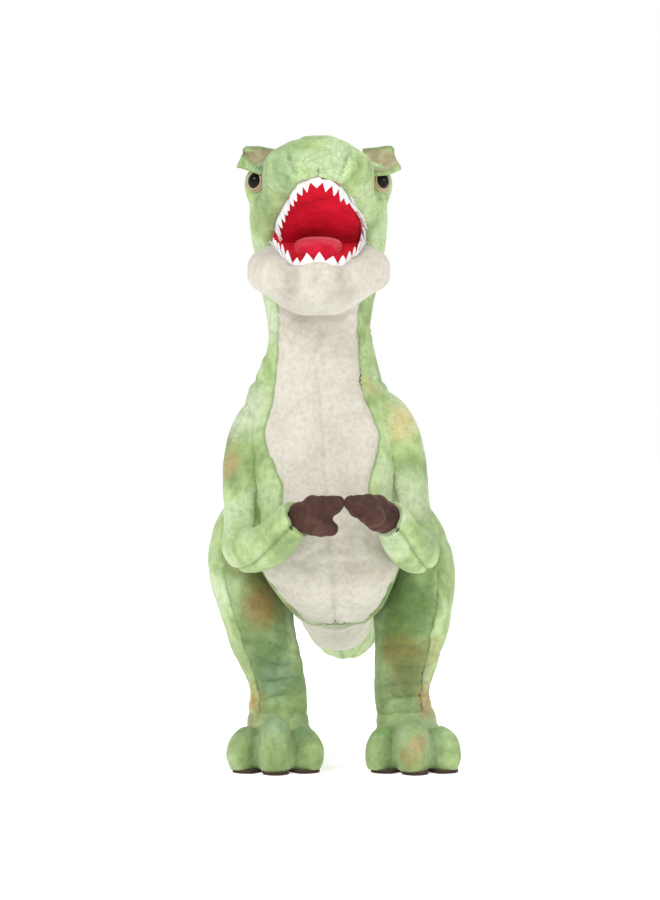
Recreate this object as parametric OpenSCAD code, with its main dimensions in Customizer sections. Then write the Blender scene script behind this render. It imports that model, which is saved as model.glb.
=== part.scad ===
// Stuffed toy tyrannosaur that stands on two padded feet with its mouth open.
// Each sewn skin panel, fibre filling, felt tooth strip and plastic eye is a part of its own.
// The toy faces -Y and stands on z = 0. Its own left side is +X. Lengths are in millimetres.

/* [Toy] */
// Overall height, from the soles to the top of the snout
toy_height = 600; // [450:10:750]
// How far the toy leans to its own right for each millimetre of height
lean = 0.07; // [0:0.01:0.08]

/* [Fabric] */
// Thickness of the plush skin with its backing
skin_t = 2; // [1.5:0.5:2.5]
// Gap between two panels where the seam is
seam_gap = 0.6; // [0.4:0.1:1]
// Thickness of the fabric of a sole
sole_t = 3; // [2:0.5:4]
// Thickness of the felt of the teeth
felt_t = 1.5; // [1:0.5:2]

/* [Eyes] */
// Diameter of the plastic eye
eye_d = 17; // [14:1:19]
// Diameter of the stem behind the eye
stem_d = 5; // [3:0.5:6]
// Diameter of the lock washer inside the head
washer_d = 20; // [16:1:22]

/* [Mouth] */
// Number of upper teeth
upper_teeth_n = 22; // [12:2:30]
// Number of lower teeth
lower_teeth_n = 16; // [10:2:24]
// Length of a tooth
tooth_len = 10; // [7:1:12]

/* [Hidden] */
function pair(name) = [for (s = ["right", "left"]) str(name, "_", s)];

k = toy_height / 600;
box_middle = [0.2, 68.3, 0];  // middle of the overall box, which becomes the origin
squareness = 2.3;           // exponent of the rounded cross-sections
fill_gap = 4;               // room between a skin and the filling inside it
fill_n = 18;                // points round a filling
panel_n = 6;                // cells across a panel
RIGHT = -1;
LEFT = 1;

PLUSH = "#9fc98a";
WHITE = "#e6e2d8";
RED = "#c3122f";
BROWN = "#4a2a2c";
FIBRE = "#f4f4f0";
FELT = "#f8f8fa";
TAN = "#c9b98f";

// ---- Points ---------------------------------------------------------------------------

// The leaning toy is shifted sideways at each height, up to the neck
function lean_x(z) = 12.5 - lean * min(z, 370);
function leaned(p) = [p[0] + lean_x(p[2]), p[1], p[2]];
function sided(p, s) = leaned([s * p[0], p[1], p[2]]);

// Smooth value of a table of rows at v, where v counts rows
function smooth(a, b, c, d, t) =
    0.5 * (2 * b + (c - a) * t + (2 * a - 5 * b + 4 * c - d) * t * t + (3 * b - a - 3 * c + d) * t * t * t);
function row_at(rows, v) =
    let (last = len(rows) - 1, i = max(0, min(floor(v), last - 1)))
    smooth(rows[max(i - 1, 0)], rows[i], rows[i + 1], rows[min(i + 2, last)], v - i);
function steps(v0, v1, count) = [for (j = [0 : count]) v0 + (v1 - v0) * j / count];
function power(x, e) = sign(x) * pow(abs(x), e);
function ease(t) = let (u = max(0, min(1, t))) u * u * (3 - 2 * u);

// A point of a slice of the body, neck, head or jaw.
// A row is [front y, front z, back y, back z, half width, half width of the pale panel, hollow],
// and hollow is the share by which the slice is narrower behind its front bulge.
// Angle 0 is the front, 90 the toy's left and 180 the back.
hollow_from = 50;
hollow_over = 40;
function profile_point(row, angle, inset) =
    let (front = [row[0], row[1]],
         back = [row[2], row[3]],
         span = norm(back - front),
         depth = max(span / 2 - inset, 0.5),
         turned = abs(angle > 180 ? angle - 360 : angle),
         narrow = 1 - row[6] * ease((turned - hollow_from) / hollow_over),
         wide = max(row[4] * narrow - inset, 0.5),
         mid = (front + back) / 2 - (back - front) / span * depth * power(cos(angle), 2 / squareness))
    leaned([wide * power(sin(angle), 2 / squareness), mid[0], mid[1]]);
// Angle at which the pale panel of a row ends
function pale_angle(row) = asin(pow(min(row[5] / row[4], 0.98), squareness / 2));
// Half the angle that a seam takes on a section of this half width
function seam_angle(half) = 0.5 * seam_gap / half * 180 / PI;

// A point of a round section of a limb. A row is [x, y, z, half width, depth share].
// Angle 0 is away from the toy's middle, and 90 the front of a leg or the underside of the tail.
function limb_frame(rows, v) =
    let (step = 0.1,
         ahead = row_at(rows, min(v + step, len(rows) - 1)),
         behind = row_at(rows, max(v - step, 0)),
         run = ahead - behind,
         along = [run[0], run[1], run[2]] / norm([run[0], run[1], run[2]]),
         down = cross(along, [1, 0, 0]),
         side = down / norm(down))
    [cross(side, along), side];
function limb_point(rows, v, angle, inset, s) =
    let (r = row_at(rows, v), f = limb_frame(rows, v), half = max(r[3] - inset, 0.5),
         deep = max(r[3] * r[4] - inset, 0.5))
    sided([r[0], r[1], r[2]] + half * cos(angle) * f[0] + deep * sin(angle) * f[1], s);

// ---- Solids ---------------------------------------------------------------------------

function grid_faces(rows, n, start, flip) = [
    for (j = [0 : rows - 2], i = [0 : n - 2])
        let (a = start + j * n + i, b = a + 1, c = a + n, d = c + 1)
        each flip ? [[a, b, c], [b, d, c]] : [[a, c, b], [b, c, d]]];
function strip(outer, inner) = [
    for (i = [0 : len(outer) - 2])
        each [[outer[i], outer[i + 1], inner[i]], [outer[i + 1], inner[i + 1], inner[i]]]];

// A sewn panel between two grids of points, the right side and the wrong side of the cloth
module cloth(outside, inside) {
    rows = len(outside);
    n = len(outside[0]);
    first = rows * n;
    rim = concat(
        [for (i = [0 : n - 1]) i],
        [for (j = [1 : rows - 1]) j * n + n - 1],
        [for (i = [n - 2 : -1 : 0]) (rows - 1) * n + i],
        [for (j = [rows - 2 : -1 : 0]) j * n]);
    polyhedron(
        points = concat([for (r = outside) each r], [for (r = inside) each r]),
        faces = concat(
            grid_faces(rows, n, 0, false),
            grid_faces(rows, n, first, true),
            strip(rim, [for (p = rim) p + first])));
}

// A closed solid through a list of rings
module filling(rings) {
    n = len(rings[0]);
    last = (len(rings) - 1) * n;
    polyhedron(
        points = [for (r = rings) each r],
        faces = concat(
            [for (j = [0 : len(rings) - 2], i = [0 : n - 1])
                let (a = j * n + i, b = j * n + (i + 1) % n)
                each [[a, a + n, b], [b, a + n, b + n]]],
            [[for (i = [0 : n - 1]) i]],
            [[for (i = [n - 1 : -1 : 0]) last + i]]));
}

function profile_rings(rows, at, inset) = [
    for (v = at)
        let (row = row_at(rows, v))
        [for (i = [0 : fill_n - 1]) profile_point(row, 360 * i / fill_n, inset)]];
function limb_rings(rows, at, inset, s) = [
    for (v = at)
        [for (i = [0 : fill_n - 1]) limb_point(rows, v, s * 360 * i / fill_n, inset, s)]];

// A panel of a profile between two edges, each given as an angle for each slice
function profile_grid(rows, at, from, to, inset) = [
    for (j = [0 : len(at) - 1])
        [for (a = steps(from[j], to[j], panel_n)) profile_point(row_at(rows, at[j]), a, inset)]];
module profile_panel(rows, at, from, to) {
    cloth(profile_grid(rows, at, from, to, 0), profile_grid(rows, at, from, to, skin_t));
}
// A panel of a limb between two angles
function limb_grid(rows, at, from, to, inset, s) = [
    for (v = at)
        [for (a = steps(from, to, panel_n)) limb_point(rows, v, s > 0 ? a : from + to - a, inset, s)]];
module limb_panel(rows, at, from, to, s) {
    gap = seam_angle(20);
    cloth(
        limb_grid(rows, at, from + gap, to - gap, 0, s),
        limb_grid(rows, at, from + gap, to - gap, skin_t, s));
}

module placed() {
    scale(k)
        translate(-box_middle)
            children();
}

// Left and right panels reach from one list of angles to another on the toy's left side
function mirrored(angles) = [for (a = angles) 360 - a];
module side_panels(rows, at, from, to, s) {
    if (s > 0)
        profile_panel(rows, at, from, to);
    else
        profile_panel(rows, at, mirrored(to), mirrored(from));
}
function pale_edge(rows, at, extra) = [
    for (v = at)
        let (row = row_at(rows, v))
        pale_angle(row) + extra * seam_angle(row[4])];
function centre_edge(rows, at, angle, extra) = [
    for (v = at) angle + extra * seam_angle(row_at(rows, v)[4])];
function mirrored_edge(rows, at) = [for (a = pale_edge(rows, at, -1)) -a];
// A pale panel across the front, a pale panel on one side of the front seam, and a flank up to the back seam
module front_panel(rows, at) {
    profile_panel(rows, at, mirrored_edge(rows, at), pale_edge(rows, at, -1));
}
module half_front_panel(rows, at, s) {
    side_panels(rows, at, centre_edge(rows, at, 0, 1), pale_edge(rows, at, -1), s);
}
module flank_panel(rows, at, s) {
    side_panels(rows, at, pale_edge(rows, at, 1), centre_edge(rows, at, 180, -1), s);
}

// ---- Body -----------------------------------------------------------------------------

BODY = [
    [-18, 141, 26, 136, 14, 10, 0],
    [-52, 147, 58, 137, 33, 25, 0.15],
    [-76, 160, 74, 150, 50, 36, 0.3],
    [-92, 178, 84, 172, 66, 50, 0.44],
    [-99, 206, 87, 204, 82, 67, 0.52],
    [-98, 240, 82, 243, 76, 50, 0.44],
    [-91, 275, 70, 282, 63, 41, 0.2],
    [-82, 304, 59, 312, 58, 52, 0],
    [-74, 329, 51, 338, 77, 55, 0],
    [-67, 352, 46, 360, 75, 46, 0],
    [-62, 374, 42, 379, 65, 42.5, 0],
    [-60, 391, 38, 391, 56, 41, 0]];
BODY_AT = steps(0, 11, 16);
module body_stuffing() {
    color(FIBRE) placed() filling(profile_rings(BODY, BODY_AT, skin_t + 3 * fill_gap));
}
module belly_panel(s) {
    color(WHITE) placed() half_front_panel(BODY, BODY_AT, s);
}
module body_side(s) {
    color(PLUSH) placed() flank_panel(BODY, BODY_AT, s);
}

// ---- Neck -----------------------------------------------------------------------------

NECK = [
    [-60, 402, 37, 402, 52, 40, 0],
    [-60, 424, 36, 424, 50, 39, 0],
    [-60, 446, 36, 446, 51, 38, 0]];
NECK_AT = steps(0, 2, 4);
module neck_stuffing() {
    color(FIBRE) placed() filling(profile_rings(NECK, NECK_AT, skin_t + fill_gap));
}
module throat_panel() {
    color(WHITE) placed() front_panel(NECK, NECK_AT);
}
module neck_side(s) {
    color(PLUSH) placed() flank_panel(NECK, NECK_AT, s);
}

// ---- Head -----------------------------------------------------------------------------

// The muzzle is laid out from the corner of the mouth: s along the upper lip, h square to it
lip_rise = 27;
mouth_corner = [-80, 510];
function muzzle(s, low, high, half, lining) = concat(
    mouth_corner + s * [-cos(lip_rise), sin(lip_rise)] + low * [sin(lip_rise), cos(lip_rise)],
    mouth_corner + s * [-cos(lip_rise), sin(lip_rise)] + high * [sin(lip_rise), cos(lip_rise)],
    [half, lining, 0]);
HEAD = [
    [-60, 448, 36, 448, 52, 40, 0],
    [-61, 470, 38, 478, 58, 44, 0],
    [-64, 490, 32, 520, 63, 47, 0],
    [-70, 500, 8, 556, 66, 48, 0],
    muzzle(0, 2, 86, 66, 43),
    muzzle(20, 2, 86, 65, 41),
    muzzle(40, 2, 78, 58, 37.5),
    muzzle(58, 2, 70, 53, 33),
    muzzle(78, 2, 62, 50, 26),
    muzzle(94, 3, 54, 43, 14),
    muzzle(103, 9, 43, 32, 3),
    muzzle(107, 18, 33, 14, 1),
    muzzle(108, 23, 28, 3, 0.3)];
HEAD_AT = concat(steps(0, 10, 12), [10.7, 11.4, 12]);
MOUTH_AT = steps(3.4, 9.6, 8);
THROAT_AT = steps(0, 3.3, 4);
gusset_half = 24;
function gusset_edge(at, extra) = [
    for (v = at)
        let (half = row_at(HEAD, v)[4])
        180 - asin(min(gusset_half / half, 0.55)) + extra * seam_angle(half)];

// Each eye stands on a disc of fabric that faces outward and forward
eye_place = [61, -86, 566];
eye_turn = 48;              // how far the eye faces forward of sideways
eye_tilt = 5;
patch_d = eye_d + 8;
washer_t = 2;
stem_len = 9;
module at_eye(s) {
    placed()
        translate(sided(eye_place, s))
            rotate([0, 0, s > 0 ? -eye_turn : 180 + eye_turn])
                rotate([0, 90 - eye_tilt, 0])
                    children();
}
module along_eye(d, from, to) {
    translate([0, 0, from])
        cylinder(d = d, h = to - from, $fn = 48);
}
module head_stuffing() {
    color(FIBRE)
        difference() {
            placed() filling(profile_rings(HEAD, HEAD_AT, skin_t + fill_gap));
            for (s = [RIGHT, LEFT])
                at_eye(s) along_eye(patch_d + 3, -stem_len - 6, 20);
        }
}
module snout_top() {
    edge = gusset_edge(HEAD_AT, 1);
    color(PLUSH) placed() profile_panel(HEAD, HEAD_AT, edge, mirrored(edge));
}
module skull_side(s) {
    color(PLUSH)
        difference() {
            placed() side_panels(HEAD, HEAD_AT, pale_edge(HEAD, HEAD_AT, 1), gusset_edge(HEAD_AT, -1), s);
            at_eye(s) along_eye(patch_d + 1.5, -25, 25);
        }
}
module palate_lining() {
    color(RED) placed() front_panel(HEAD, MOUTH_AT);
}
module under_head_panel() {
    color(WHITE) placed() front_panel(HEAD, THROAT_AT);
}

// A strip of felt with a zigzag edge that hangs from a path of points along one direction
band_len = 0.3 * tooth_len;
module teeth(path, hang, inward) {
    n = len(path);
    function reach(i) = i % 2 == 1 ? tooth_len : band_len;
    function face(t) = [
        [for (i = [0 : n - 1]) path[i] + t * inward[i]],
        [for (i = [0 : n - 1]) path[i] + t * inward[i] + reach(i) * hang[i]]];
    cloth(face(felt_t), face(0));
}
// Path along both lips: right corner, front, left corner, with closer points at the front
path_bias = 1.15;
function along_lips(rows, v0, v1, count, inset) = [
    for (i = [0 : 2 * count])
        let (u = abs(i / count - 1),
             v = v1 + (v0 - v1) * pow(u, path_bias),
             row = row_at(rows, v),
             a = pale_angle(row))
        profile_point(row, i < count ? 360 - a : a, inset)];
// The strip lies just under the palate, so it hangs from a path a little inside the lip
lip_gap = 0.8;
module upper_teeth() {
    down = [0, -0.5, -0.85];
    path = [for (p = along_lips(HEAD, 4.2, 9.3, upper_teeth_n, 0)) p + lip_gap * down];
    middle = leaned([0, -110, 530]);
    color(FELT) placed() teeth(
        path,
        [for (p = path) down],
        [for (p = path) let (d = [middle[0] - p[0], middle[1] - p[1], 0]) d / norm(d)]);
}

// The brow is a pinched flap above the eye: plush outside and a tan lining below
brow_tip = [77, -74, 596];
brow_n = 4;
function brow_grid(s, lift) = [
    for (j = [0 : brow_n])
        [for (i = [0 : brow_n])
            let (a = 3.5 + 1.75 * (s > 0 ? i : brow_n - i) / brow_n,
                 base = profile_point(row_at(HEAD, a), s > 0 ? 121 : 239, -1.2),
                 tip = sided(brow_tip, s),
                 t = 0.94 * j / brow_n,
                 bulge = 5 * sin(180 * t))
            base + t * (tip - base) + [0, 0, lift + bulge]]];
module brow_flap(s) {
    color(PLUSH) placed() cloth(brow_grid(s, 1.5 + skin_t), brow_grid(s, 1.5));
}
module brow_lining(s) {
    color(TAN) placed() cloth(brow_grid(s, 1), brow_grid(s, 0));
}
module eye_patch(s) {
    color(TAN)
        difference() {
            at_eye(s) along_eye(patch_d, -skin_t, 0);
            at_eye(s) along_eye(stem_d + 0.4, -skin_t - 1, 1);
        }
}
dome_h = 0.36 * eye_d;
module eye(s) {
    round_r = (eye_d * eye_d / 4 + dome_h * dome_h) / (2 * dome_h);
    color("#1a1412")
        at_eye(s)
            union() {
                intersection() {
                    translate([0, 0, 0.05 + dome_h - round_r])
                        sphere(r = round_r, $fn = 64);
                    along_eye(eye_d + 2, 0.05, dome_h + 1);
                }
                along_eye(stem_d, -stem_len, 0.5);
            }
}
module eye_washer(s) {
    color("#e9e9e6")
        difference() {
            at_eye(s) along_eye(washer_d, -skin_t - 0.1 - washer_t, -skin_t - 0.1);
            at_eye(s) along_eye(stem_d + 0.1, -skin_t - washer_t - 2, 0);
        }
}

// ---- Jaw ------------------------------------------------------------------------------

// Slices from the back of the jaw to the chin: front is the bottom, back the floor of the mouth
JAW = [
    [-77, 450, -77, 503, 58, 42, 0],
    [-86, 440, -86, 505, 66, 42, 0],
    [-101, 436, -101, 501, 67, 38, 0],
    [-119, 437, -120, 495, 56, 32, 0],
    [-136, 442, -138, 489, 46, 29, 0],
    [-149, 449, -151, 484, 34, 21, 0],
    [-156, 459, -157, 476, 14, 8, 0]];
JAW_AT = steps(0, 6, 9);
function floor_edge(at, extra) = [for (a = pale_edge(JAW, at, extra)) 180 - a];
module jaw_stuffing() {
    color(FIBRE) placed() filling(profile_rings(JAW, JAW_AT, skin_t + fill_gap));
}
module chin_cover() {
    edge = floor_edge(JAW_AT, 1);
    grid = 3 * panel_n;
    function face(inset) = [
        for (j = [0 : len(JAW_AT) - 1])
            [for (a = steps(-edge[j], edge[j], grid)) profile_point(row_at(JAW, JAW_AT[j]), a, inset)]];
    color(WHITE) placed() cloth(face(0), face(skin_t));
}
module mouth_floor() {
    edge = floor_edge(JAW_AT, -1);
    color(RED) placed() profile_panel(JAW, JAW_AT, edge, mirrored(edge));
}
TONGUE = [
    [-86, 505.6, -86, 508, 13, 5, 0],
    [-94, 504, -94, 509, 20, 5, 0],
    [-106, 500.6, -107, 508, 22, 5, 0],
    [-120, 496.2, -122, 504.5, 20, 5, 0],
    [-132, 492.4, -134, 498.5, 14, 5, 0],
    [-137, 490.6, -138, 493.5, 6, 3, 0]];
module tongue() {
    color("#d83050") placed() filling(profile_rings(TONGUE, steps(0, 5, 8), 0));
}
function along_jaw(count) = [
    for (i = [0 : 2 * count])
        let (u = abs(i / count - 1),
             v = 5.8 - 4.6 * pow(u, path_bias),
             row = row_at(JAW, v),
             a = 180 - pale_angle(row))
        profile_point(row, i < count ? 360 - a : a, 0)];
module lower_teeth() {
    up = [0, -0.2, 0.98];
    path = [for (p = along_jaw(lower_teeth_n)) p + lip_gap * up];
    middle = leaned([0, -100, 490]);
    color(FELT) placed() teeth(
        path,
        [for (p = path) 0.9 * up],
        [for (p = path) let (d = [middle[0] - p[0], middle[1] - p[1], 0]) -d / norm(d)]);
}

// ---- Arms -----------------------------------------------------------------------------

// The two forearms reach in by different amounts, so that the fingertips meet
function arm_rows(s) = [
    [87, -24, 322, 7, 1.1],
    [84, -24, 311, 15, 1.1],
    [82.2, -27, 293, 18, 1.1],
    [82.8, -36, 262, 18, 1.1],
    [84.6, -50, 232, 18.5, 1.05],
    s < 0 ? [85.2, -76.5, 212, 18, 1] : [86, -71, 213, 18, 1],
    s < 0 ? [68.8, -107, 216, 18, 1] : [79, -100, 216, 18, 1],
    s < 0 ? [49, -130.5, 228, 17.5, 1] : [69, -125, 228, 17.5, 1],
    s < 0 ? [34, -146, 240, 15.5, 1] : [56, -143, 241, 15.5, 1]];
ARM_AT = steps(0, 8, 12);
arm_seam = 125;             // angle of the seam that faces the belly
module arm_stuffing(s) {
    color(FIBRE) placed() filling(limb_rings(arm_rows(s), ARM_AT, skin_t + fill_gap, s));
}
module arm_outer(s) {
    color(PLUSH) placed() limb_panel(arm_rows(s), ARM_AT, -60, arm_seam, s);
}
module arm_inner(s) {
    color(PLUSH) placed() limb_panel(arm_rows(s), ARM_AT, arm_seam, 300, s);
}
// The hand goes on from the wrist as a mitten, deepest where the thumb is
function hand_rows(s) = let (w = s < 0 ? 1 : 27) [
    [30 + w, -149, 242, 15, 1],
    [22 + w, -156, 245, 18.5, 1],
    [13 + w, -162, 244, 17.5, 1.3],
    [4 + w, -168, 246, 13.5, 1.35],
    [-6 + w, -172, 253, 10, 1],
    [-11 + w, -174, 255, 4, 1]];
module hand(s) {
    color(BROWN) placed() filling(limb_rings(hand_rows(s), steps(0, 5, 7), 0, s));
}

// ---- Legs -----------------------------------------------------------------------------

LEG = [
    [76, 34, 264, 12, 1.5],
    [80, 32, 248, 25, 1.5],
    [83, 28, 222, 34, 1.5],
    [84, 21, 190, 37, 1.5],
    [79, 10, 155, 37, 1.4],
    [71, 2, 122, 33, 1.22],
    [65, 1, 95, 29, 1.08],
    [62.5, 3, 74, 27.5, 1.02],
    [63, 4, 60, 28, 1]];
LEG_AT = steps(0, 8, 11);
leg_seam = 52;              // angle of the seam down the front
ankle = [63, 4];
ankle_r = 28;
foot_x = 67;
toe_z = 16;                 // height at which the toes reach furthest
toe_h = 41;                 // from there up to the instep
toe_step = 30;              // angle between toes
toe_reach = 78;
notch_reach = 55;
heel_reach = 38;
side_reach = 36;
side_toe_shorter = 0.07;    // share by which the side toes are shorter
// How far the foot reaches at an angle from straight ahead
function foot_reach(a) =
    let (d = abs(a),
         toe = (d - toe_step * round(d / toe_step)) / (toe_step / 2),
         beyond = d - 1.5 * toe_step,
         tip = toe_reach * (1 - side_toe_shorter * ease(d / toe_step)))
    beyond <= 0
        ? notch_reach + (tip - notch_reach) * sqrt(max(0, 1 - toe * toe))
        : side_reach + (notch_reach - side_reach) * exp(-beyond / 14)
            + (heel_reach - side_reach) * ease((d - 110) / 70);
FOOT_ANGLES = concat(steps(-45, 45, 18), [for (a = steps(45, 315, 10)) if (a > 45 && a < 315) a]);
FOOT_Z = [56.5, 53.5, 45, 33, 20, 10, 3.2];
function foot_point(z, a, inset, s) =
    let (up = (z - toe_z) / (z > toe_z ? toe_h : 1.25 * toe_h),
         bulge = sqrt(max(0, 1 - up * up)),
         turned = a > 180 ? a - 360 : a,
         r = max(ankle_r, ankle_r + (foot_reach(turned) - ankle_r) * bulge) - inset,
         shift = (foot_x - ankle[0]) * bulge)
    sided([ankle[0] + shift + r * sin(s * turned), ankle[1] - r * cos(turned), z], s);
function foot_rings(levels, inset, s) = [
    for (z = levels)
        [for (i = [len(FOOT_ANGLES) - 1 : -1 : 0]) foot_point(z, FOOT_ANGLES[i], inset, s)]];
// Leg rings on the same angles as the foot, so that leg and foot are filled in one piece
function shin_rings(at, inset, s) = [
    for (v = at)
        [for (i = [len(FOOT_ANGLES) - 1 : -1 : 0]) limb_point(LEG, v, 90 - s * FOOT_ANGLES[i], inset, s)]];
module leg_stuffing(s) {
    fit = skin_t + fill_gap;
    levels = [for (z = FOOT_Z) if (z < 52) z];
    color(FIBRE) placed() filling(concat(
        shin_rings(steps(0.25, 8, 9), fit, s),
        foot_rings(concat([for (z = levels) if (z > sole_t + 3) z], [sole_t + 1.2]), fit + 0.4, s)));
}
module leg_outer(s) {
    color(PLUSH) placed() limb_panel(LEG, LEG_AT, -100, leg_seam, s);
}
module leg_inner(s) {
    color(PLUSH) placed() limb_panel(LEG, LEG_AT, leg_seam, 260, s);
}
// The foot cover wraps the foot from a seam at the heel
module foot_top(s) {
    heel_gap = seam_angle(heel_reach);
    around = concat([180 + heel_gap],
        [for (a = FOOT_ANGLES) if (a > 180) a], [for (a = FOOT_ANGLES) if (a < 180) a],
        [180 - heel_gap]);
    turned = [for (a = around) a > 180 ? a - 360 : a];
    n = len(turned) - 1;
    function face(inset) = [
        for (z = FOOT_Z)
            [for (i = [n : -1 : 0]) foot_point(z, turned[i], inset, s)]];
    color(PLUSH) placed() cloth(face(0), face(skin_t));
}
module sole(s) {
    color(BROWN) placed()
        linear_extrude(sole_t)
            polygon([for (a = FOOT_ANGLES) let (p = foot_point(sole_t, a, 1.2, s)) [p[0], p[1]]]);
}

// ---- Tail -----------------------------------------------------------------------------

TAIL = [
    [0, 98, 188, 43, 1.36],
    [0, 111, 182, 43, 1.34],
    [0, 133, 165, 41, 1.27],
    [2, 161, 143, 38, 1.2],
    [6, 194, 124, 32.5, 1.15],
    [14, 229, 114, 26.5, 1.1],
    [28, 262, 114, 20.5, 1.05],
    [48, 289, 124, 15, 1],
    [69, 307, 140, 10, 1],
    [84, 315, 156, 5, 1]];
TAIL_AT = steps(0, 4.86, 8);
TIP_AT = steps(5.14, 9, 8);
// The pale underside is widest by the body and closes to a point below the bend
function underside_half(v) = max(78 * (1 - ease((v - 2.2) / 2.6)), 1);
module tail_stuffing() {
    color(FIBRE) placed() filling(limb_rings(TAIL, TAIL_AT, skin_t + fill_gap, LEFT));
}
module tail_underside() {
    function face(inset) = [
        for (v = TAIL_AT)
            let (half = underside_half(v))
            [for (a = steps(90 - half, 90 + half, panel_n)) limb_point(TAIL, v, a, inset, LEFT)]];
    color(WHITE) placed() cloth(face(0), face(skin_t));
}
module tail_side(s) {
    function face(inset) = [
        for (v = TAIL_AT)
            let (gap = seam_angle(row_at(TAIL, v)[3]), half = underside_half(v) + 2 * gap)
            [for (a = s > 0 ? steps(-90 + gap, 90 - half, panel_n) : steps(90 + half, 270 - gap, panel_n))
                limb_point(TAIL, v, a, inset, LEFT)]];
    color(PLUSH) placed() cloth(face(0), face(skin_t));
}
module tail_tip_stuffing() {
    color(FIBRE) placed() filling(limb_rings(TAIL, steps(5.14, 8.7, 7), skin_t + fill_gap, LEFT));
}
module tail_tip_side(s) {
    function face(inset) = [
        for (v = TIP_AT)
            let (gap = seam_angle(row_at(TAIL, v)[3]))
            [for (a = s > 0 ? steps(-90 + gap, 90 - gap, panel_n) : steps(90 + gap, 270 - gap, panel_n))
                limb_point(TAIL, v, a, inset, LEFT)]];
    color(PLUSH) placed() cloth(face(0), face(skin_t));
}

// ---- Assembly -------------------------------------------------------------------------

body_stuffing();
neck_stuffing();
throat_panel();
head_stuffing();
snout_top();
palate_lining();
under_head_panel();
upper_teeth();
jaw_stuffing();
chin_cover();
mouth_floor();
tongue();
lower_teeth();
tail_stuffing();
tail_underside();
tail_tip_stuffing();
belly_panel(RIGHT);  // belly_panel_right
belly_panel(LEFT);  // belly_panel_left
body_side(RIGHT);  // body_side_right
body_side(LEFT);  // body_side_left
neck_side(RIGHT);  // neck_side_right
neck_side(LEFT);  // neck_side_left
skull_side(RIGHT);  // skull_side_right
skull_side(LEFT);  // skull_side_left
eye_patch(RIGHT);  // eye_patch_right
eye_patch(LEFT);  // eye_patch_left
eye(RIGHT);  // eye_right
eye(LEFT);  // eye_left
eye_washer(RIGHT);  // eye_washer_right
eye_washer(LEFT);  // eye_washer_left
brow_flap(RIGHT);  // brow_flap_right
brow_flap(LEFT);  // brow_flap_left
brow_lining(RIGHT);  // brow_lining_right
brow_lining(LEFT);  // brow_lining_left
arm_stuffing(RIGHT);  // arm_stuffing_right
arm_stuffing(LEFT);  // arm_stuffing_left
arm_outer(RIGHT);  // arm_outer_right
arm_outer(LEFT);  // arm_outer_left
arm_inner(RIGHT);  // arm_inner_right
arm_inner(LEFT);  // arm_inner_left
hand(RIGHT);  // hand_right
hand(LEFT);  // hand_left
leg_stuffing(RIGHT);  // leg_stuffing_right
leg_stuffing(LEFT);  // leg_stuffing_left
leg_outer(RIGHT);  // leg_outer_right
leg_outer(LEFT);  // leg_outer_left
leg_inner(RIGHT);  // leg_inner_right
leg_inner(LEFT);  // leg_inner_left
foot_top(RIGHT);  // foot_top_right
foot_top(LEFT);  // foot_top_left
sole(RIGHT);  // sole_right
sole(LEFT);  // sole_left
tail_side(RIGHT);  // tail_side_right
tail_side(LEFT);  // tail_side_left
tail_tip_side(RIGHT);  // tail_tip_side_right
tail_tip_side(LEFT);  // tail_tip_side_left
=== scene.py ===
"""Looks of the stuffed tyrannosaur: sewn plush skins, velour belly, felt teeth, plastic eyes.

Shapes are laid out in millimetres with section rows much like the CAD part's, then moved to the frame in
metres.
"""
import math

import bpy
import numpy as np
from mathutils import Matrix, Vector


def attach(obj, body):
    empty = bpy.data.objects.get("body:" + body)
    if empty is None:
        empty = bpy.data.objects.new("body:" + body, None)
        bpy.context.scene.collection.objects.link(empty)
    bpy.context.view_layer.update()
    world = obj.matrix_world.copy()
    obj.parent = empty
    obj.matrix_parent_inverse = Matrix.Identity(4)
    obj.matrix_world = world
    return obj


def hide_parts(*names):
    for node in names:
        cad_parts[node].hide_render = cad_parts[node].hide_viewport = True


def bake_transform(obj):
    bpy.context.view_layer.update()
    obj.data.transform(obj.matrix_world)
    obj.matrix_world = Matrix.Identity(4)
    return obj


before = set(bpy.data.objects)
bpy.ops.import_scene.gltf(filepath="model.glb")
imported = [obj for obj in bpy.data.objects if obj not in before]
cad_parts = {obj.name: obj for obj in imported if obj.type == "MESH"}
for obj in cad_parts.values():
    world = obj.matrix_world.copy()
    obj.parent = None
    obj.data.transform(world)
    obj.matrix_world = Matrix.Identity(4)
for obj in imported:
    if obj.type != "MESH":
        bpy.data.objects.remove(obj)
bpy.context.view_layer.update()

# ---------------------------------------------------------------------------------------
# Measures

MM = 0.001
BOX_MIDDLE = np.array([0.2, 68.3, 0.0])   # of the section rows, which is the frame's origin
SQUARENESS = 2.3
SKIN = 1.6                                # thickness of a skin, mm
RIGHT, LEFT = -1, 1
SIDES = {"right": RIGHT, "left": LEFT}
LEAN_FOOT, LEAN_SLOPE, LEAN_TOP = 12.5, 0.07, 370.0   # the toy leans sideways up to this height


def lean_x(z):
    """How far the toy's middle lies to its left at this height."""
    return LEAN_FOOT - LEAN_SLOPE * np.minimum(z, LEAN_TOP)


HEAD_X = LEAN_FOOT - LEAN_SLOPE * LEAN_TOP            # the head's middle


def leaned(p):
    """Points with the toy's sideways lean."""
    out = np.array(p, float)
    out[..., 0] += lean_x(out[..., 2])
    return out


def to_world(p):
    """Points of the tables (mm) in the shared frame (m)."""
    return (np.asarray(p, float) - BOX_MIDDLE) * MM


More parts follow.
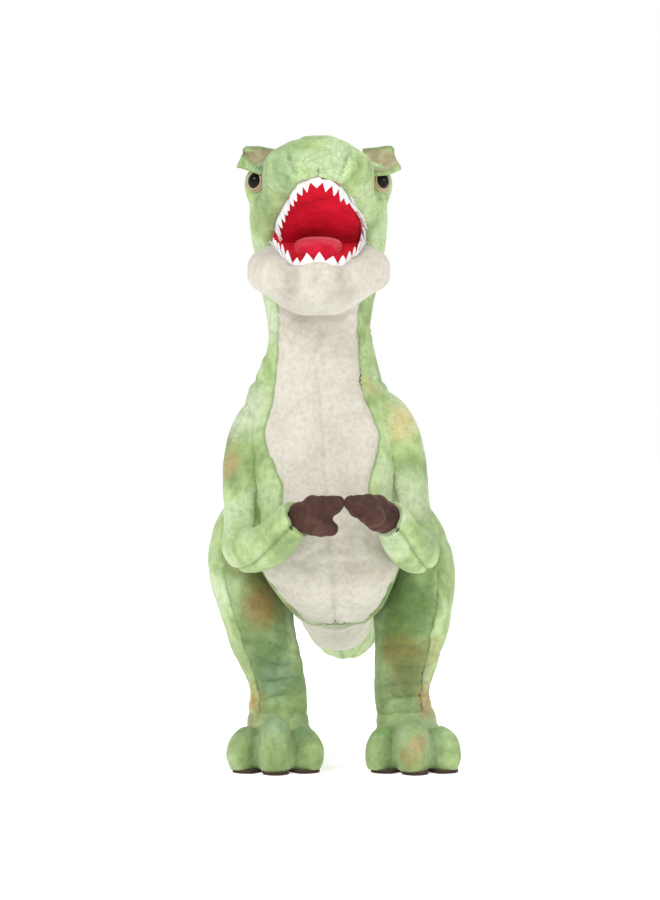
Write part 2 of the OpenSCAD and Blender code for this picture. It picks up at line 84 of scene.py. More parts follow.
# Slices: front y, z, back y, z, half width, half width of the pale panel, hollow of the flank
BODY = [
    [1, 139.5, 5, 139, 1, 0.7, 0],
    [-18, 141, 26, 136, 14, 12, 0],
    [-52, 147, 58, 137, 33, 29, 0.1],
    [-76, 160, 74, 150, 50, 42, 0.2],
    [-92, 178, 84, 172, 66, 56, 0.3],
    [-99, 206, 87, 204, 82, 69, 0.36],
    [-98, 240, 82, 243, 78, 50, 0.2],
    [-91, 275, 70, 282, 74, 41, 0.05],
    [-82, 304, 59, 312, 75, 52, 0],
    [-74, 329, 51, 338, 77, 56, 0],
    [-67, 352, 46, 360, 72, 47, 0],
    [-62, 374, 42, 379, 64, 42.5, 0],
    [-60, 391, 38, 391, 57, 41, 0],
    [-60, 420, 36, 420, 51, 39, 0]]
LIP_RISE = math.radians(27)
MOUTH_CORNER = (-80.0, 510.0)


def muzzle(s, low, high, half, lining):
    """A slice of the muzzle, s along the upper lip, from h = low to h = high square to it."""
    along = np.array([-math.cos(LIP_RISE), math.sin(LIP_RISE)])
    square = np.array([math.sin(LIP_RISE), math.cos(LIP_RISE)])
    base = np.array(MOUTH_CORNER) + s * along
    return [*(base + low * square), *(base + high * square), half, lining, 0]


HEAD = [
    [-60, 448, 36, 448, 52, 40, 0],
    [-61, 470, 38, 478, 58, 44, 0],
    [-64, 490, 32, 520, 63, 47, 0],
    [-70, 500, 8, 556, 66, 47, 0],
    muzzle(0, 2, 86, 66, 43),
    muzzle(20, 2, 86, 65, 40),
    muzzle(40, 2, 78, 58, 35),
    muzzle(58, 2, 70, 53, 29.5),
    muzzle(78, 2, 62, 50, 23),
    muzzle(92, 3, 55, 44, 14.5),
    muzzle(98, 6, 50, 39, 1.0),
    muzzle(104, 11, 42, 30, 0.6),
    muzzle(107, 18, 34, 15, 0.3),
    muzzle(108.3, 24, 27, 1, 0.1)]
TRUNK = np.array(BODY + HEAD, float)
HEAD_FROM = len(BODY)             # row at which the head's slices begin
NECK_CUT = HEAD_FROM - 1.0        # row in the middle of the neck, where body skin meets head skin
MOUTH_FROM = HEAD_FROM + 3.35
MOUTH_TO = HEAD_FROM + 10.0

JAW = np.array([
    [-42, 478, -42, 482, 1, 0.7, 0],
    [-46, 464, -46, 495, 36, 22, 0],
    [-57, 454, -57, 502, 51, 34, 0],
    [-71, 446, -71, 507, 61, 42, 0],
    [-86, 440, -86, 507, 66, 43, 0],
    [-101, 437, -101, 503, 67, 40, 0],
    [-119, 438, -120, 496, 60, 36, 0],
    [-136, 442, -138, 490, 49, 31, 0],
    [-149, 448, -150.5, 485, 37, 24, 0],
    [-156, 456, -157, 481, 23, 14, 0],
    [-158.5, 464, -159, 475, 9, 4, 0],
    [-159.2, 469, -159.2, 470.5, 0.6, 0.3, 0]], float)
JAW_SQUARENESS = 2.8

# Limbs: x, y, z, half width, depth share
LEG = np.array([
    [66, 34, 268, 12, 1.5],
    [72, 32, 250, 27, 1.55],
    [79, 28, 222, 36, 1.5],
    [82.5, 21, 190, 38.5, 1.45],
    [77.5, 10, 155, 38, 1.4],
    [70.5, 2, 122, 33.5, 1.22],
    [65, 1, 95, 29, 1.08],
    [62.5, 3, 74, 27.5, 1.02],
    [63, 2, 54, 27, 1],
    [64, 0, 36, 22, 1]], float)


def arm_rows(s):
    """The arm's rows on this side; its two shoulders are cut differently."""
    return np.array([
        [48, -20, 360, 9, 1.2] if s < 0 else [50, -20, 366, 9, 1.2],
        [56, -21, 347, 17, 1.25] if s < 0 else [59, -21, 353, 18, 1.25],
        [65, -23, 329, 21, 1.2] if s < 0 else [69, -23, 333, 22.5, 1.2],
        [73, -26, 306, 22, 1.12] if s < 0 else [75, -26, 308, 22.5, 1.12],
        [78, -34, 272, 21.5, 1.08],
        [80.5, -50, 238, 21, 1.04],
        [81, -72, 218, 21, 1] if s < 0 else [83, -70, 218, 21, 1],
        [66, -103, 219, 20.5, 1] if s < 0 else [77, -99, 219, 20.5, 1],
        [48, -128, 230, 19.5, 1] if s < 0 else [68, -124, 230, 19.5, 1],
        [34, -145, 243, 18, 1] if s < 0 else [61, -140, 243, 18, 1],
        [26, -151, 248, 16.5, 1] if s < 0 else [55, -147, 248, 16.5, 1],
        [25.5, -151.3, 248.1, 10, 1] if s < 0 else [54.5, -147.3, 248.1, 10, 1]], float)


TAIL = np.array([
    [0, 52, 196, 42, 1.3],
    [0, 80, 192, 46, 1.36],
    [0, 98, 187, 45, 1.36],
    [0, 114, 180, 44, 1.33],
    [0, 135, 165, 41.5, 1.27],
    [2, 161, 143, 38, 1.2],
    [6, 194, 124, 32.5, 1.15],
    [14, 229, 114, 26.5, 1.1],
    [28, 262, 114, 20.5, 1.05],
    [48, 289, 124, 15, 1],
    [69, 307, 140, 10, 1],
    [84, 315, 156, 5.5, 1],
    [87, 316.5, 160, 1.5, 1]], float)
TAIL_CUT = 5.4                    # row where the two tail skins meet
WHITE_HALF = 84.0                 # half of the tail's pale underside, degrees round it


def rows_at(rows, v):
    """Catmull-Rom values of a table of rows at each v."""
    v = np.asarray(v, float)
    last = len(rows) - 1
    i = np.clip(np.floor(v).astype(int), 0, last - 1)
    t = (v - i)[..., None]
    a, b = rows[np.maximum(i - 1, 0)], rows[i]
    c, d = rows[i + 1], rows[np.minimum(i + 2, last)]
    return 0.5 * (2 * b + (c - a) * t + (2 * a - 5 * b + 4 * c - d) * t**2 + (3 * b - a - 3 * c + d) * t**3)


def ease(t):
    """0 below t = 0, 1 above t = 1, with a smooth rise between."""
    u = np.clip(t, 0, 1)
    return u * u * (3 - 2 * u)


def power(x, e):
    """The power of x's size, with x's sign."""
    return np.sign(x) * np.abs(x) ** e


def profile(rows, v, angle, squareness=SQUARENESS):
    """Points of slices at v (rows) and angle (degrees, 0 front, 90 the toy's left, 180 back)."""
    r = rows_at(rows, v)
    front, back = r[..., 0:2], r[..., 2:4]
    half = np.linalg.norm(back - front, axis=-1) / 2
    turned = np.abs(np.where(angle > 180, angle - 360, angle))
    wide = np.maximum(r[..., 4] * (1 - r[..., 6] * ease((turned - 50) / 40)), 0.3)
    rad = np.radians(angle)
    along = (back - front) / (2 * half)[..., None]
    mid = (front + back) / 2 - along * (half * power(np.cos(rad), 2 / squareness))[..., None]
    x = wide * power(np.sin(rad), 2 / squareness)
    return leaned(np.stack([x, mid[..., 0], mid[..., 1]], -1))


def pale_angle(rows, v):
    """Angle at which the pale panel ends, at each v."""
    r = rows_at(rows, v)
    share = np.minimum(np.maximum(r[..., 5], 0.1) / r[..., 4], 0.98)
    return np.degrees(np.arcsin(share ** (SQUARENESS / 2)))


def limb(rows, v, angle, s):
    """Points of a limb at v and angle (degrees): 0 away from the middle, 90 to its front or underside."""
    r = rows_at(rows, v)
    run = rows_at(rows, np.minimum(v + 0.1, len(rows) - 1)) - rows_at(rows, np.maximum(v - 0.1, 0))
    along = run[..., :3] / np.linalg.norm(run[..., :3], axis=-1, keepdims=True)
    down = np.cross(along, [1.0, 0, 0])
    side = down / np.linalg.norm(down, axis=-1, keepdims=True)
    out = np.cross(side, along)
    rad = np.radians(angle)
    c, q = np.cos(rad)[..., None], np.sin(rad)[..., None]
    p = r[..., :3] + r[..., 3:4] * (c * out + q * r[..., 4:5] * side)
    p[..., 0] *= s
    return leaned(p)


# ---------------------------------------------------------------------------------------
# Noise, seeded

def value_noise(p, size, seed):
    """Smooth noise from -1 to 1 with cells of this size, in mm."""
    rng = np.random.RandomState(seed)
    n = 32
    table = rng.uniform(-1, 1, (n, n, n))
    q = p / size
    i = np.floor(q).astype(int)
    f = q - i
    f = f * f * (3 - 2 * f)
    total = np.zeros(p.shape[:-1])
    for dx in (0, 1):
        for dy in (0, 1):
            for dz in (0, 1):
                w = (np.abs(1 - dx - f[..., 0]) * np.abs(1 - dy - f[..., 1]) * np.abs(1 - dz - f[..., 2]))
                total += w * table[(i[..., 0] + dx) % n, (i[..., 1] + dy) % n, (i[..., 2] + dz) % n]
    return total


def crackle(p, size, seed):
    """0 on the lines between irregular cells of this size, rising to 1 inside them."""
    rng = np.random.RandomState(seed)
    n = 32
    jitter = rng.uniform(0.1, 0.9, (n, n, n, 3))
    q = p / size
    base = np.floor(q).astype(int)
    near = np.full(p.shape[:-1], 9.0)
    second = near.copy()
    for dx in (-1, 0, 1):
        for dy in (-1, 0, 1):
            for dz in (-1, 0, 1):
                cell = base + (dx, dy, dz)
                seed_point = cell + jitter[cell[..., 0] % n, cell[..., 1] % n, cell[..., 2] % n]
                d = np.linalg.norm(q - seed_point, axis=-1)
                second = np.minimum(second, np.maximum(near, d))
                near = np.minimum(near, d)
    return np.clip((second - near) / 0.16, 0, 1)


# ---------------------------------------------------------------------------------------
# Grids and meshes

def normals_of(grid, ring=False):
    """Unit normals of a grid of points; ring says that the columns close on themselves."""
    if ring:
        du = np.roll(grid, -1, 1) - np.roll(grid, 1, 1)
    else:
        du = np.gradient(grid, axis=1)
    dv = np.gradient(grid, axis=0)
    n = np.cross(du, dv)
    return n / np.maximum(np.linalg.norm(n, axis=-1, keepdims=True), 1e-9)


def along_rows(grid):
    """Length from the first column to each point, along its row."""
    step = np.linalg.norm(np.diff(grid, axis=1), axis=-1)
    return np.concatenate([np.zeros((len(grid), 1)), np.cumsum(step, axis=1)], axis=1)


def pucker(d, along, reach, size, seed):
    """Little gathers beside a seam."""
    phase = np.stack([along, d * 0.25, np.zeros_like(d)], -1)
    return value_noise(phase, size, seed) * np.exp(-d / reach)


def mesh_object(name, verts, faces, material):
    """A mesh object of one material, in the scene."""
    mesh = bpy.data.meshes.new(name)
    mesh.from_pydata([tuple(v) for v in verts], [], [tuple(int(i) for i in f) for f in faces])
    mesh.validate()
    mesh.update()
    obj = bpy.data.objects.new(name, mesh)
    bpy.context.scene.collection.objects.link(obj)
    mesh.materials.append(material)
    mesh.polygons.foreach_set("use_smooth", [True] * len(mesh.polygons))
    return obj


SEAM_SHADE_REACH = 1.5                          # how far the painted shade of a seam's groove reaches beside it, mm
IVORY_SEAM_SHADE = 0.4                          # share of that painted shade on the pale cloth


def skin(name, grid, material, thickness=SKIN, normals=None, seam=None, folds=None):
    """A sewn panel as a closed thin solid: the grid is its right side, in mm. Painted shade darkens it beside
    its seams and along its folds.
    """
    rows, cols = grid.shape[:2]
    n = normals_of(grid) if normals is None else normals
    inner = grid - n * thickness
    verts = np.concatenate([to_world(grid).reshape(-1, 3), to_world(inner).reshape(-1, 3)])
    index = np.arange(rows * cols).reshape(rows, cols)
    a, b, c, d = index[:-1, :-1], index[:-1, 1:], index[1:, 1:], index[1:, :-1]
    front = np.stack([a, b, c, d], -1).reshape(-1, 4)
    back = front[:, ::-1] + rows * cols
    rim = np.concatenate([index[0, :], index[1:, -1], index[-1, -2::-1], index[-2::-1, 0]])
    band = np.stack([rim[1:], rim[:-1], rim[:-1] + rows * cols, rim[1:] + rows * cols], -1)
    obj = mesh_object(name, verts, np.concatenate([front, back, band]), material)
    run = along_rows(grid)
    # Painted shade beside the seams, kept in the seam attribute and weaker on the pale cloth; the folds'
    # painted shade is added to it
    if seam is None:
        seam = np.exp(-(np.minimum(run, run[:, -1:] - run) / SEAM_SHADE_REACH) ** 2)
        seam = seam * (IVORY_SEAM_SHADE if material.name.startswith("ivory") else 1.0)
    if folds is not None:
        seam = np.clip(seam + folds, 0, 1)
    dark = obj.data.attributes.new("seam", "FLOAT", "POINT")
    dark.data.foreach_set("value", np.tile(seam.ravel(), 2).astype(np.float32))
    sharpen(obj)
    return obj


def panel(name, grid, normals, material, node, seam=None, folds=None):
    """A skin shaded with these normals on both faces, in place of a node of the CAD, which it hides."""
    obj = skin(name, grid, material, SKIN, normals, seam, folds)
    both = np.concatenate([normals.reshape(-1, 3), -normals.reshape(-1, 3)])
    obj.data.normals_split_custom_set_from_vertices([tuple(n) for n in both])
    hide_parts(node)
    return obj


def sharpen(obj, angle=50):
    """Shades edges sharper than this many degrees as edges."""
    obj.data.set_sharp_from_angle(angle=math.radians(angle))


def closed_tube(name, grid, material):
    """A closed solid through rings of points (rows of the grid), with its ends capped."""
    rows, cols = grid.shape[:2]
    verts = to_world(grid).reshape(-1, 3)
    index = np.arange(rows * cols).reshape(rows, cols)
    a, d = index[:-1], index[1:]
    b, c = np.roll(a, -1, 1), np.roll(d, -1, 1)
    faces = [tuple(f) for f in np.stack([a, b, c, d], -1).reshape(-1, 4)]
    faces.append(tuple(index[0, ::-1]))
    faces.append(tuple(index[-1]))
    obj = mesh_object(name, verts, faces, material)
    sharpen(obj)
    return obj


def even_steps(curve, v, spacing):
    """Values of v at which steps along the curve of points are about this long."""
    run = np.concatenate([[0], np.cumsum(np.linalg.norm(np.diff(curve, axis=0), axis=1))])
    count = max(int(run[-1] / spacing), 4)
    return np.interp(np.linspace(0, run[-1], count + 1), run, v)


# ---------------------------------------------------------------------------------------
# Materials

def linear(rgb):
    """Linear colour of an sRGB one given from 0 to 255."""
    c = np.array(rgb, float) / 255
    return (*np.where(c <= 0.04045, c / 12.92, ((c + 0.055) / 1.055) ** 2.4), 1.0)


class Nodes:
    """A material's node tree with short names for the nodes used here."""

    def __init__(self, name):
        self.material = bpy.data.materials.new(name)
        self.material.use_nodes = True
        self.tree = self.material.node_tree
        self.shader = next(n for n in self.tree.nodes if n.type == "BSDF_PRINCIPLED")
        self.place = self.tree.nodes.new("ShaderNodeTexCoord").outputs["Object"]

    def add(self, kind, inputs=(), **settings):
        """A node with these settings; inputs are values or other nodes' outputs."""
        node = self.tree.nodes.new(kind)
        for key, value in settings.items():
            setattr(node, key, value)
        for key, value in dict(inputs).items():
            if isinstance(value, bpy.types.NodeSocket):
                self.tree.links.new(value, node.inputs[key])
            else:
                node.inputs[key].default_value = value
        return node

    def noise(self, size, detail=2.0, rough=0.5, warp=0.0, place=None):
        return self.add("ShaderNodeTexNoise", {
            "Vector": place or self.place, "Scale": 1 / (size * MM), "Detail": detail, "Roughness": rough,
            "Distortion": warp}).outputs["Fac"]

    def ramp(self, factor, stops):
        """Colour ramp of (place, colour) stops."""
        node = self.add("ShaderNodeValToRGB", {"Fac": factor})
        points = node.color_ramp.elements
        while len(points) < len(stops):
            points.new(0.5)
        for point, (at, colour) in zip(points, stops):
            point.position = at
            point.color = linear(colour)
        return node.outputs["Color"]

    def step(self, factor, low, high):
        return self.add("ShaderNodeMapRange", {"Value": factor, "From Min": low, "From Max": high},
                        interpolation_type="SMOOTHSTEP").outputs["Result"]

    def mix(self, factor, a, b, blend="MIX"):
        node = self.add("ShaderNodeMix", {0: factor}, data_type="RGBA", blend_type=blend)
        for socket, value in ((node.inputs[6], a), (node.inputs[7], b)):
            if isinstance(value, bpy.types.NodeSocket):
                self.tree.links.new(value, socket)
            else:
                socket.default_value = value
        return node.outputs[2]

    def math(self, operation, a, b=0.0):
        return self.add("ShaderNodeMath", {0: a, 1: b}, operation=operation).outputs[0]

    def bump(self, height, depth, normal=None, strength=1.0):
        """Bump of this depth in mm."""
        inputs = {"Height": height, "Distance": depth * MM, "Strength": strength}
        if normal is not None:
            inputs["Normal"] = normal
        return self.add("ShaderNodeBump", inputs).outputs["Normal"]

    def finish(self, colour, normal, rough, sheen=0.0, sheen_rough=0.4, sheen_tint=(1, 1, 1, 1), coat=0.0,
               specular=0.3):
        """Sets the shader's inputs and returns the material."""
        for key, value in (("Base Color", colour), ("Normal", normal), ("Roughness", rough)):
            if isinstance(value, bpy.types.NodeSocket):
                self.tree.links.new(value, self.shader.inputs[key])
            elif value is not None:
                self.shader.inputs[key].default_value = value
        self.shader.inputs["Sheen Weight"].default_value = sheen
        self.shader.inputs["Sheen Roughness"].default_value = sheen_rough
        self.shader.inputs["Sheen Tint"].default_value = sheen_tint
        self.shader.inputs["Coat Weight"].default_value = coat
        self.shader.inputs["Specular IOR Level"].default_value = specular
        return self.material


# Dye patches: where (row coordinates, mm), reach, colour, strength
DYE = [
    ((-66, -40, 161), 24, (150, 118, 66), 0.85),
    ((-68, -38, 192), 20, (128, 140, 78), 0.8),
    ((-71, -30, 112), 28, (104, 132, 82), 0.75),
    ((-60, -30, 90), 20, (122, 152, 124), 0.6),
    ((-90, -12, 62), 15, (206, 146, 84), 0.7),
    ((-24, -74, 34), 13, (196, 140, 80), 0.7),
    ((66, -38, 162), 34, (104, 134, 74), 0.85),
    ((56, -34, 128), 20, (120, 140, 76), 0.7),
    ((64, -30, 112), 22, (142, 128, 72), 0.75),
    ((68, -28, 86), 18, (120, 126, 76), 0.7),
    ((88, -14, 66), 15, (198, 150, 96), 0.7),
    ((87, -72, 36), 14, (196, 152, 112), 0.6),
    ((-96, -40, 297), 16, (196, 166, 112), 0.7),
    ((-80, -62, 204), 14, (208, 142, 78), 0.6),
    ((88, -60, 216), 11, (104, 156, 136), 0.7),
    ((72, -36, 338), 20, (240, 206, 150), 0.6),
    ((-26, -130, 578), 30, (132, 160, 128), 0.65),
    ((-40, -96, 590), 24, (128, 158, 134), 0.65),
    ((26, -128, 582), 24, (226, 238, 196), 0.6),
    ((-6, -90, 604), 26, (206, 230, 162), 0.6),
    ((-52, -20, 560), 26, (142, 164, 120), 0.5),
    ((-96, 20, 210), 30, (186, 204, 150), 0.5),
    ((96, 20, 205), 30, (180, 212, 164), 0.5),
    ((0, 78, 330), 34, (122, 150, 96), 0.6),
    ((30, 70, 250), 26, (196, 160, 96), 0.5),
    ((-36, 60, 392), 24, (116, 150, 124), 0.5),
    ((4, 176, 170), 26, (140, 150, 84), 0.6),
    ((30, 262, 132), 18, (198, 150, 88), 0.6),
    ((10, 226, 138), 18, (120, 156, 128), 0.6),
    ((2, 20, 590), 30, (148, 178, 112), 0.6),
    ((-72, -42, 346), 26, (226, 234, 210), 0.6),
    ((74, -60, 268), 30, (222, 236, 198), 0.7),
    ((-64, -12, 386), 18, (106, 142, 96), 0.85),
    ((64, -12, 390), 16, (116, 152, 104), 0.7),
    ((-52, -30, 440), 26, (222, 228, 208), 0.6),
    ((-66, -62, 44), 15, (178, 208, 168), 0.7),
    ((-36, -46, 46), 13, (112, 166, 130), 0.7),
    ((-94, -44, 32), 12, (182, 204, 150), 0.6),
    ((40, -46, 36), 13, (140, 190, 100), 0.7),
    ((66, -64, 26), 12, (204, 170, 128), 0.7),
    ((96, -40, 34), 12, (170, 212, 156), 0.6)]


WARP_SIZE = 0.045                         # size and reach of the dye's wandering, m
VEIN_CELL, VEIN_SWAY = 0.0065, 0.02       # size of the cells between the pile's veins, their wandering, m


def plush(name, wavy, tone=0.8, deep=0.0):
    """Short tie-dyed plush: wavy is the strength of the veins in its pile, deep the share of darker patches.
    """
    m = Nodes(name)
    warp = m.add("ShaderNodeTexNoise", {"Vector": m.place, "Scale": 1 / WARP_SIZE, "Detail": 3.0,
                                        "Roughness": 0.55})
    bent = m.add("ShaderNodeVectorMath", {0: warp.outputs["Color"], 1: (0.5, 0.5, 0.5)}, operation="SUBTRACT")
    bent = m.add("ShaderNodeVectorMath", {0: bent.outputs[0], "Scale": WARP_SIZE}, operation="SCALE")
    place = m.add("ShaderNodeVectorMath", {0: m.place, 1: bent.outputs[0]}, operation="ADD").outputs[0]
    # Ground colours, then the dye's patches
    colour = m.ramp(m.noise(70, 3, 0.6, 0.6), [
        (0.30, (142, 164, 112)), (0.42, (166, 190, 126)), (0.52, (190, 214, 150)), (0.62, (206, 226, 176)),
        (0.74, (222, 234, 198))])
    colour = m.mix(m.step(m.noise(38, 3, 0.6, 0.5), 0.54, 0.80), colour, linear((138, 166, 126)))
    colour = m.mix(m.step(m.noise(56, 2, 0.5, 0.3), 0.60, 0.84), colour, linear((198, 176, 118)))
    dark = m.math("MULTIPLY", m.step(m.noise(60, 2, 0.5, 0.8), 0.25, 0.6), deep)
    colour = m.mix(dark, colour, linear((120, 148, 92)))
    for where, reach, dye, strength in DYE:
        centre = tuple(to_world(leaned(where)))
        away = m.add("ShaderNodeVectorMath", {0: place, 1: centre}, operation="DISTANCE").outputs["Value"]
        fade = m.step(away, reach * 1.45 * MM, reach * 0.35 * MM)
        colour = m.mix(m.math("MULTIPLY", fade, strength), colour, linear(dye))
    # Fine veins between the tufts, a pattern of the pile that is painted darker as shade in their grooves,
    # and painted shade in the hollows of the pile
    sway = m.add("ShaderNodeVectorMath", {0: warp.outputs["Color"], "Scale": VEIN_SWAY}, operation="SCALE")
    swayed = m.add("ShaderNodeVectorMath", {0: m.place, 1: sway.outputs[0]}, operation="ADD").outputs[0]
    veins = m.add("ShaderNodeTexVoronoi", {"Vector": swayed, "Scale": 1 / VEIN_CELL},
                  feature="DISTANCE_TO_EDGE").outputs["Distance"]
    line = m.step(veins, 0.12, 0.0)
    patchy = m.step(m.noise(30, 2), 0.35, 0.65)
    line = m.math("MULTIPLY", line, patchy)
    colour = m.mix(m.math("MULTIPLY", line, 0.5 * wavy), colour, linear((104, 126, 88)))
    nap = m.noise(9, 4, 0.7)
    pile_hollow_shade = m.math("MULTIPLY", m.step(nap, 0.62, 0.3), 0.3)
    colour = m.mix(pile_hollow_shade, colour, linear((112, 134, 92)), "MULTIPLY")
    colour = m.mix(1.0, colour, (tone, tone, tone, 1), "MULTIPLY")
    # Painted shade beside the seams and along the folds, from the seam attribute
    seam = m.add("ShaderNodeAttribute", attribute_name="seam").outputs["Fac"]
    colour = m.mix(m.math("MULTIPLY", seam, 0.6), colour, linear((96, 112, 72)))
    pile = m.bump(m.noise(1.1, 3, 0.7), 0.55)
    clumps = m.bump(m.noise(4.5, 3, 0.65), 1.1, pile, 0.7)
    crease = m.bump(line, 0.9, clumps, 0.5 * wavy + 0.1)
    return m.finish(colour, crease, 0.92, sheen=0.35, sheen_rough=0.45, sheen_tint=linear((232, 240, 214)),
                    specular=0.15)


def velour(name, colours, nap_size=5.0, depth=0.5, sheen=0.3, rough=0.9, tint=(255, 255, 255)):
    """Short brushed cloth in three shades of a colour."""
    m = Nodes(name)
    colour = m.ramp(m.noise(26, 4, 0.6, 0.4), [(0.3, colours[0]), (0.5, colours[1]), (0.72, colours[2])])
    colour = m.mix(m.math("MULTIPLY", m.step(m.noise(nap_size, 3, 0.7), 0.6, 0.35), 0.25), colour,
                   linear(colours[0]), "MULTIPLY")
    # Painted shade beside the seams and along the folds, from the seam attribute
    seam = m.add("ShaderNodeAttribute", attribute_name="seam").outputs["Fac"]
    colour = m.mix(m.math("MULTIPLY", seam, 0.35), colour, linear([0.62 * c for c in colours[0]]))
    pile = m.bump(m.noise(0.9, 2, 0.6), depth * 0.6)
    nap = m.bump(m.noise(nap_size, 3, 0.6), depth, pile, 0.6)
    return m.finish(colour, nap, rough, sheen=sheen, sheen_tint=linear(tint), specular=0.2)


GREEN = plush("green_plush", 0.35)
# A copy with more of the darker patches, for the inner panels of the legs
GREEN_DEEP = plush("green_plush_deep", 0.3, 0.8, 0.7)
GREEN_FOOT = plush("green_plush_foot", 0.3, 0.74, 0.4)
GREEN_WAVY = plush("green_plush_wavy", 0.6, 0.88, 0.25)
IVORY = velour("ivory_velour", [(190, 184, 170), (198, 193, 180), (205, 201, 190)])
RED = velour("red_velour", [(172, 8, 30), (208, 14, 44), (222, 24, 54)], 4, 0.4, 0.1, tint=(255, 60, 70))
PINK = velour("tongue_velour", [(176, 14, 38), (196, 20, 48), (214, 44, 70)], 4, 0.5, 0.4,
              tint=(255, 190, 200))
TAN = velour("tan_velour", [(136, 128, 96), (164, 156, 122), (184, 178, 146)])
BROWN = velour("brown_velour", [(54, 36, 31), (72, 49, 42), (90, 64, 56)], 3.5, 0.7, 0.35,
               tint=(200, 170, 155))
SOLE = velour("sole_velour", [(46, 34, 28), (64, 48, 40), (82, 62, 52)], 4, 0.6, 0.3, tint=(200, 180, 165))
FELT = velour("tooth_felt", [(214, 214, 216), (226, 226, 228), (236, 236, 238)], 2.0, 0.4, 0.2)


def plastic(name, colour, rough, coat, specular=0.5):
    """Smooth plastic, rougher and paler in faint spots."""
    m = Nodes(name)
    wear = m.noise(0.8, 3, 0.6)
    worn = m.add("ShaderNodeMapRange", {"Value": wear, "To Min": rough, "To Max": rough + 0.08})
    tint = m.mix(m.step(wear, 0.4, 0.7), linear(colour), linear([min(255, c + 8) for c in colour]))
    return m.finish(tint, m.bump(m.noise(3.0, 1), 0.02), worn.outputs["Result"], coat=coat, specular=specular)


EYE_BLACK = plastic("eye_black", (4, 3, 3), 0.06, 0.0, 0.16)
EYE_RING = plastic("eye_ring", (164, 134, 100), 0.3, 0.2)
WASHER = plastic("washer_plastic", (226, 226, 222), 0.35, 0.0)

# ---------------------------------------------------------------------------------------
# Cloth: the skins are blown up a little between their seams

CLOTH = {"quality": 5, "mass": 0.3, "tension_stiffness": 12, "compression_stiffness": 12,
         "shear_stiffness": 6, "bending_stiffness": 0.4, "use_pressure": True, "uniform_pressure_force": 4.0,
         "shrink_min": -0.06, "vertex_group_mass": "held"}
CLOTH_FRAMES = 20
SWELL_KEPT = 0.25                         # share kept of the swelling all over
MOVE_SHARE = 0.6                          # share kept of the rest


def spread(values, places, count):
    """Values along the first axis at these places, interpolated to 0 ... count - 1."""
    flat = values.reshape(len(values), -1)
    full = [np.interp(np.arange(count), places, column) for column in flat.T]
    return np.stack(full, -1).reshape(count, *values.shape[1:])


def stuffed(grid, seams, step, cap, name, share=1.0):
    """The grid (rings of points) after cloth under pressure, held at its seam columns and end rows.

    The cloth has every step-th row and column. No point moves further than cap, in mm.
    """
    rows, cols = grid.shape[:2]
    some_rows = np.unique(np.append(np.arange(0, rows, step), rows - 1))
    some_cols = np.unique(np.concatenate([np.arange(0, cols, step), np.asarray(seams) % cols]))
    if cols - some_cols[-1] < 2:
        some_cols = some_cols[:-1]
    coarse = grid[some_rows][:, some_cols]
    n_rows, n_cols = coarse.shape[:2]
    index = np.arange(n_rows * n_cols).reshape(n_rows, n_cols)
    a, d = index[:-1], index[1:]
    faces = np.stack([a, np.roll(a, -1, 1), np.roll(d, -1, 1), d], -1).reshape(-1, 4)
    mesh = bpy.data.meshes.new(name)
    mesh.from_pydata([tuple(p) for p in to_world(coarse).reshape(-1, 3)], [], faces.tolist())
    obj = bpy.data.objects.new(name, mesh)
    bpy.context.scene.collection.objects.link(obj)
    held = np.isin(some_cols, np.asarray(seams) % cols)
    group = obj.vertex_groups.new(name="held")
    pins = np.concatenate([index[:, held].ravel(), index[0], index[-1]])
    group.add([int(i) for i in np.unique(pins)], 1.0, "REPLACE")
    cloth = obj.modifiers.new("cloth", "CLOTH")
    for key, value in CLOTH.items():
        setattr(cloth.settings, key, value)
    cloth.settings.effector_weights.gravity = 0
    cloth.collision_settings.use_collision = False
    for frame_now in range(1, CLOTH_FRAMES + 1):
        bpy.context.scene.frame_set(frame_now)
    moved = obj.evaluated_get(bpy.context.evaluated_depsgraph_get()).data
    co = np.zeros(len(moved.vertices) * 3, np.float32)
    moved.vertices.foreach_get("co", co)
    bpy.data.objects.remove(obj)
    bpy.context.scene.frame_set(1)
    shift = co.reshape(n_rows, n_cols, 3) / MM - (coarse - BOX_MIDDLE)
    normals = normals_of(coarse, ring=True)
    normals = normals * outward(coarse, normals)
    swell = np.median((shift * normals).sum(-1)[:, ~held])
    shift = shift - (1 - SWELL_KEPT) * swell * normals * (~held)[None, :, None]
    far = np.linalg.norm(shift, axis=-1, keepdims=True)
    shift = shift * np.minimum(MOVE_SHARE, cap / np.maximum(far, 1e-6))
    wide = np.concatenate([shift, shift[:, :1]], axis=1)
    across = spread(np.moveaxis(wide, 1, 0), np.append(some_cols, cols), cols)
    return grid + spread(np.moveaxis(across, 1, 0), some_rows, rows) * share


# ---------------------------------------------------------------------------------------
# Trunk: body, neck and head in one run of slices

CELL = 2.3
PALE_COLS, SIDE_COLS, TOP_COLS = ((28, 42, 14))
NECK_SEAM = len(BODY) - 2.85                 # row of the seam at the base of the neck
GUSSET_HALF = 24.0


def rim_lines(rows, v, turns, squareness):
    """The section's points at these angles along v, side by side, to measure the spacing of rows by."""
    lines = [profile(rows, v, np.full_like(v, a), squareness) for a in turns]
    return np.stack(lines, 1).reshape(len(v), -1)


def trunk_rows():
    """Rows of the trunk grid and the indices of the rows on which pieces end."""
    dense = np.linspace(0, len(TRUNK) - 1, 900)
    marks = [0, NECK_SEAM, NECK_CUT, HEAD_FROM, MOUTH_FROM, MOUTH_TO, len(TRUNK) - 1]
    at, index = [0.0], [0]
    for v0, v1 in zip(marks[:-1], marks[1:]):
        part = (dense >= v0) & (dense <= v1)
        v = np.concatenate([[v0], dense[part][1:-1], [v1]])
        some = even_steps(rim_lines(TRUNK, v, (0.01, 60, 120, 180), SQUARENESS), v, 2 * CELL)
        at.extend(some[1:])
        index.append(len(at) - 1)
    return np.array(at), dict(zip(("bottom", "neck_seam", "neck_cut", "head", "mouth", "lip", "end"), index))


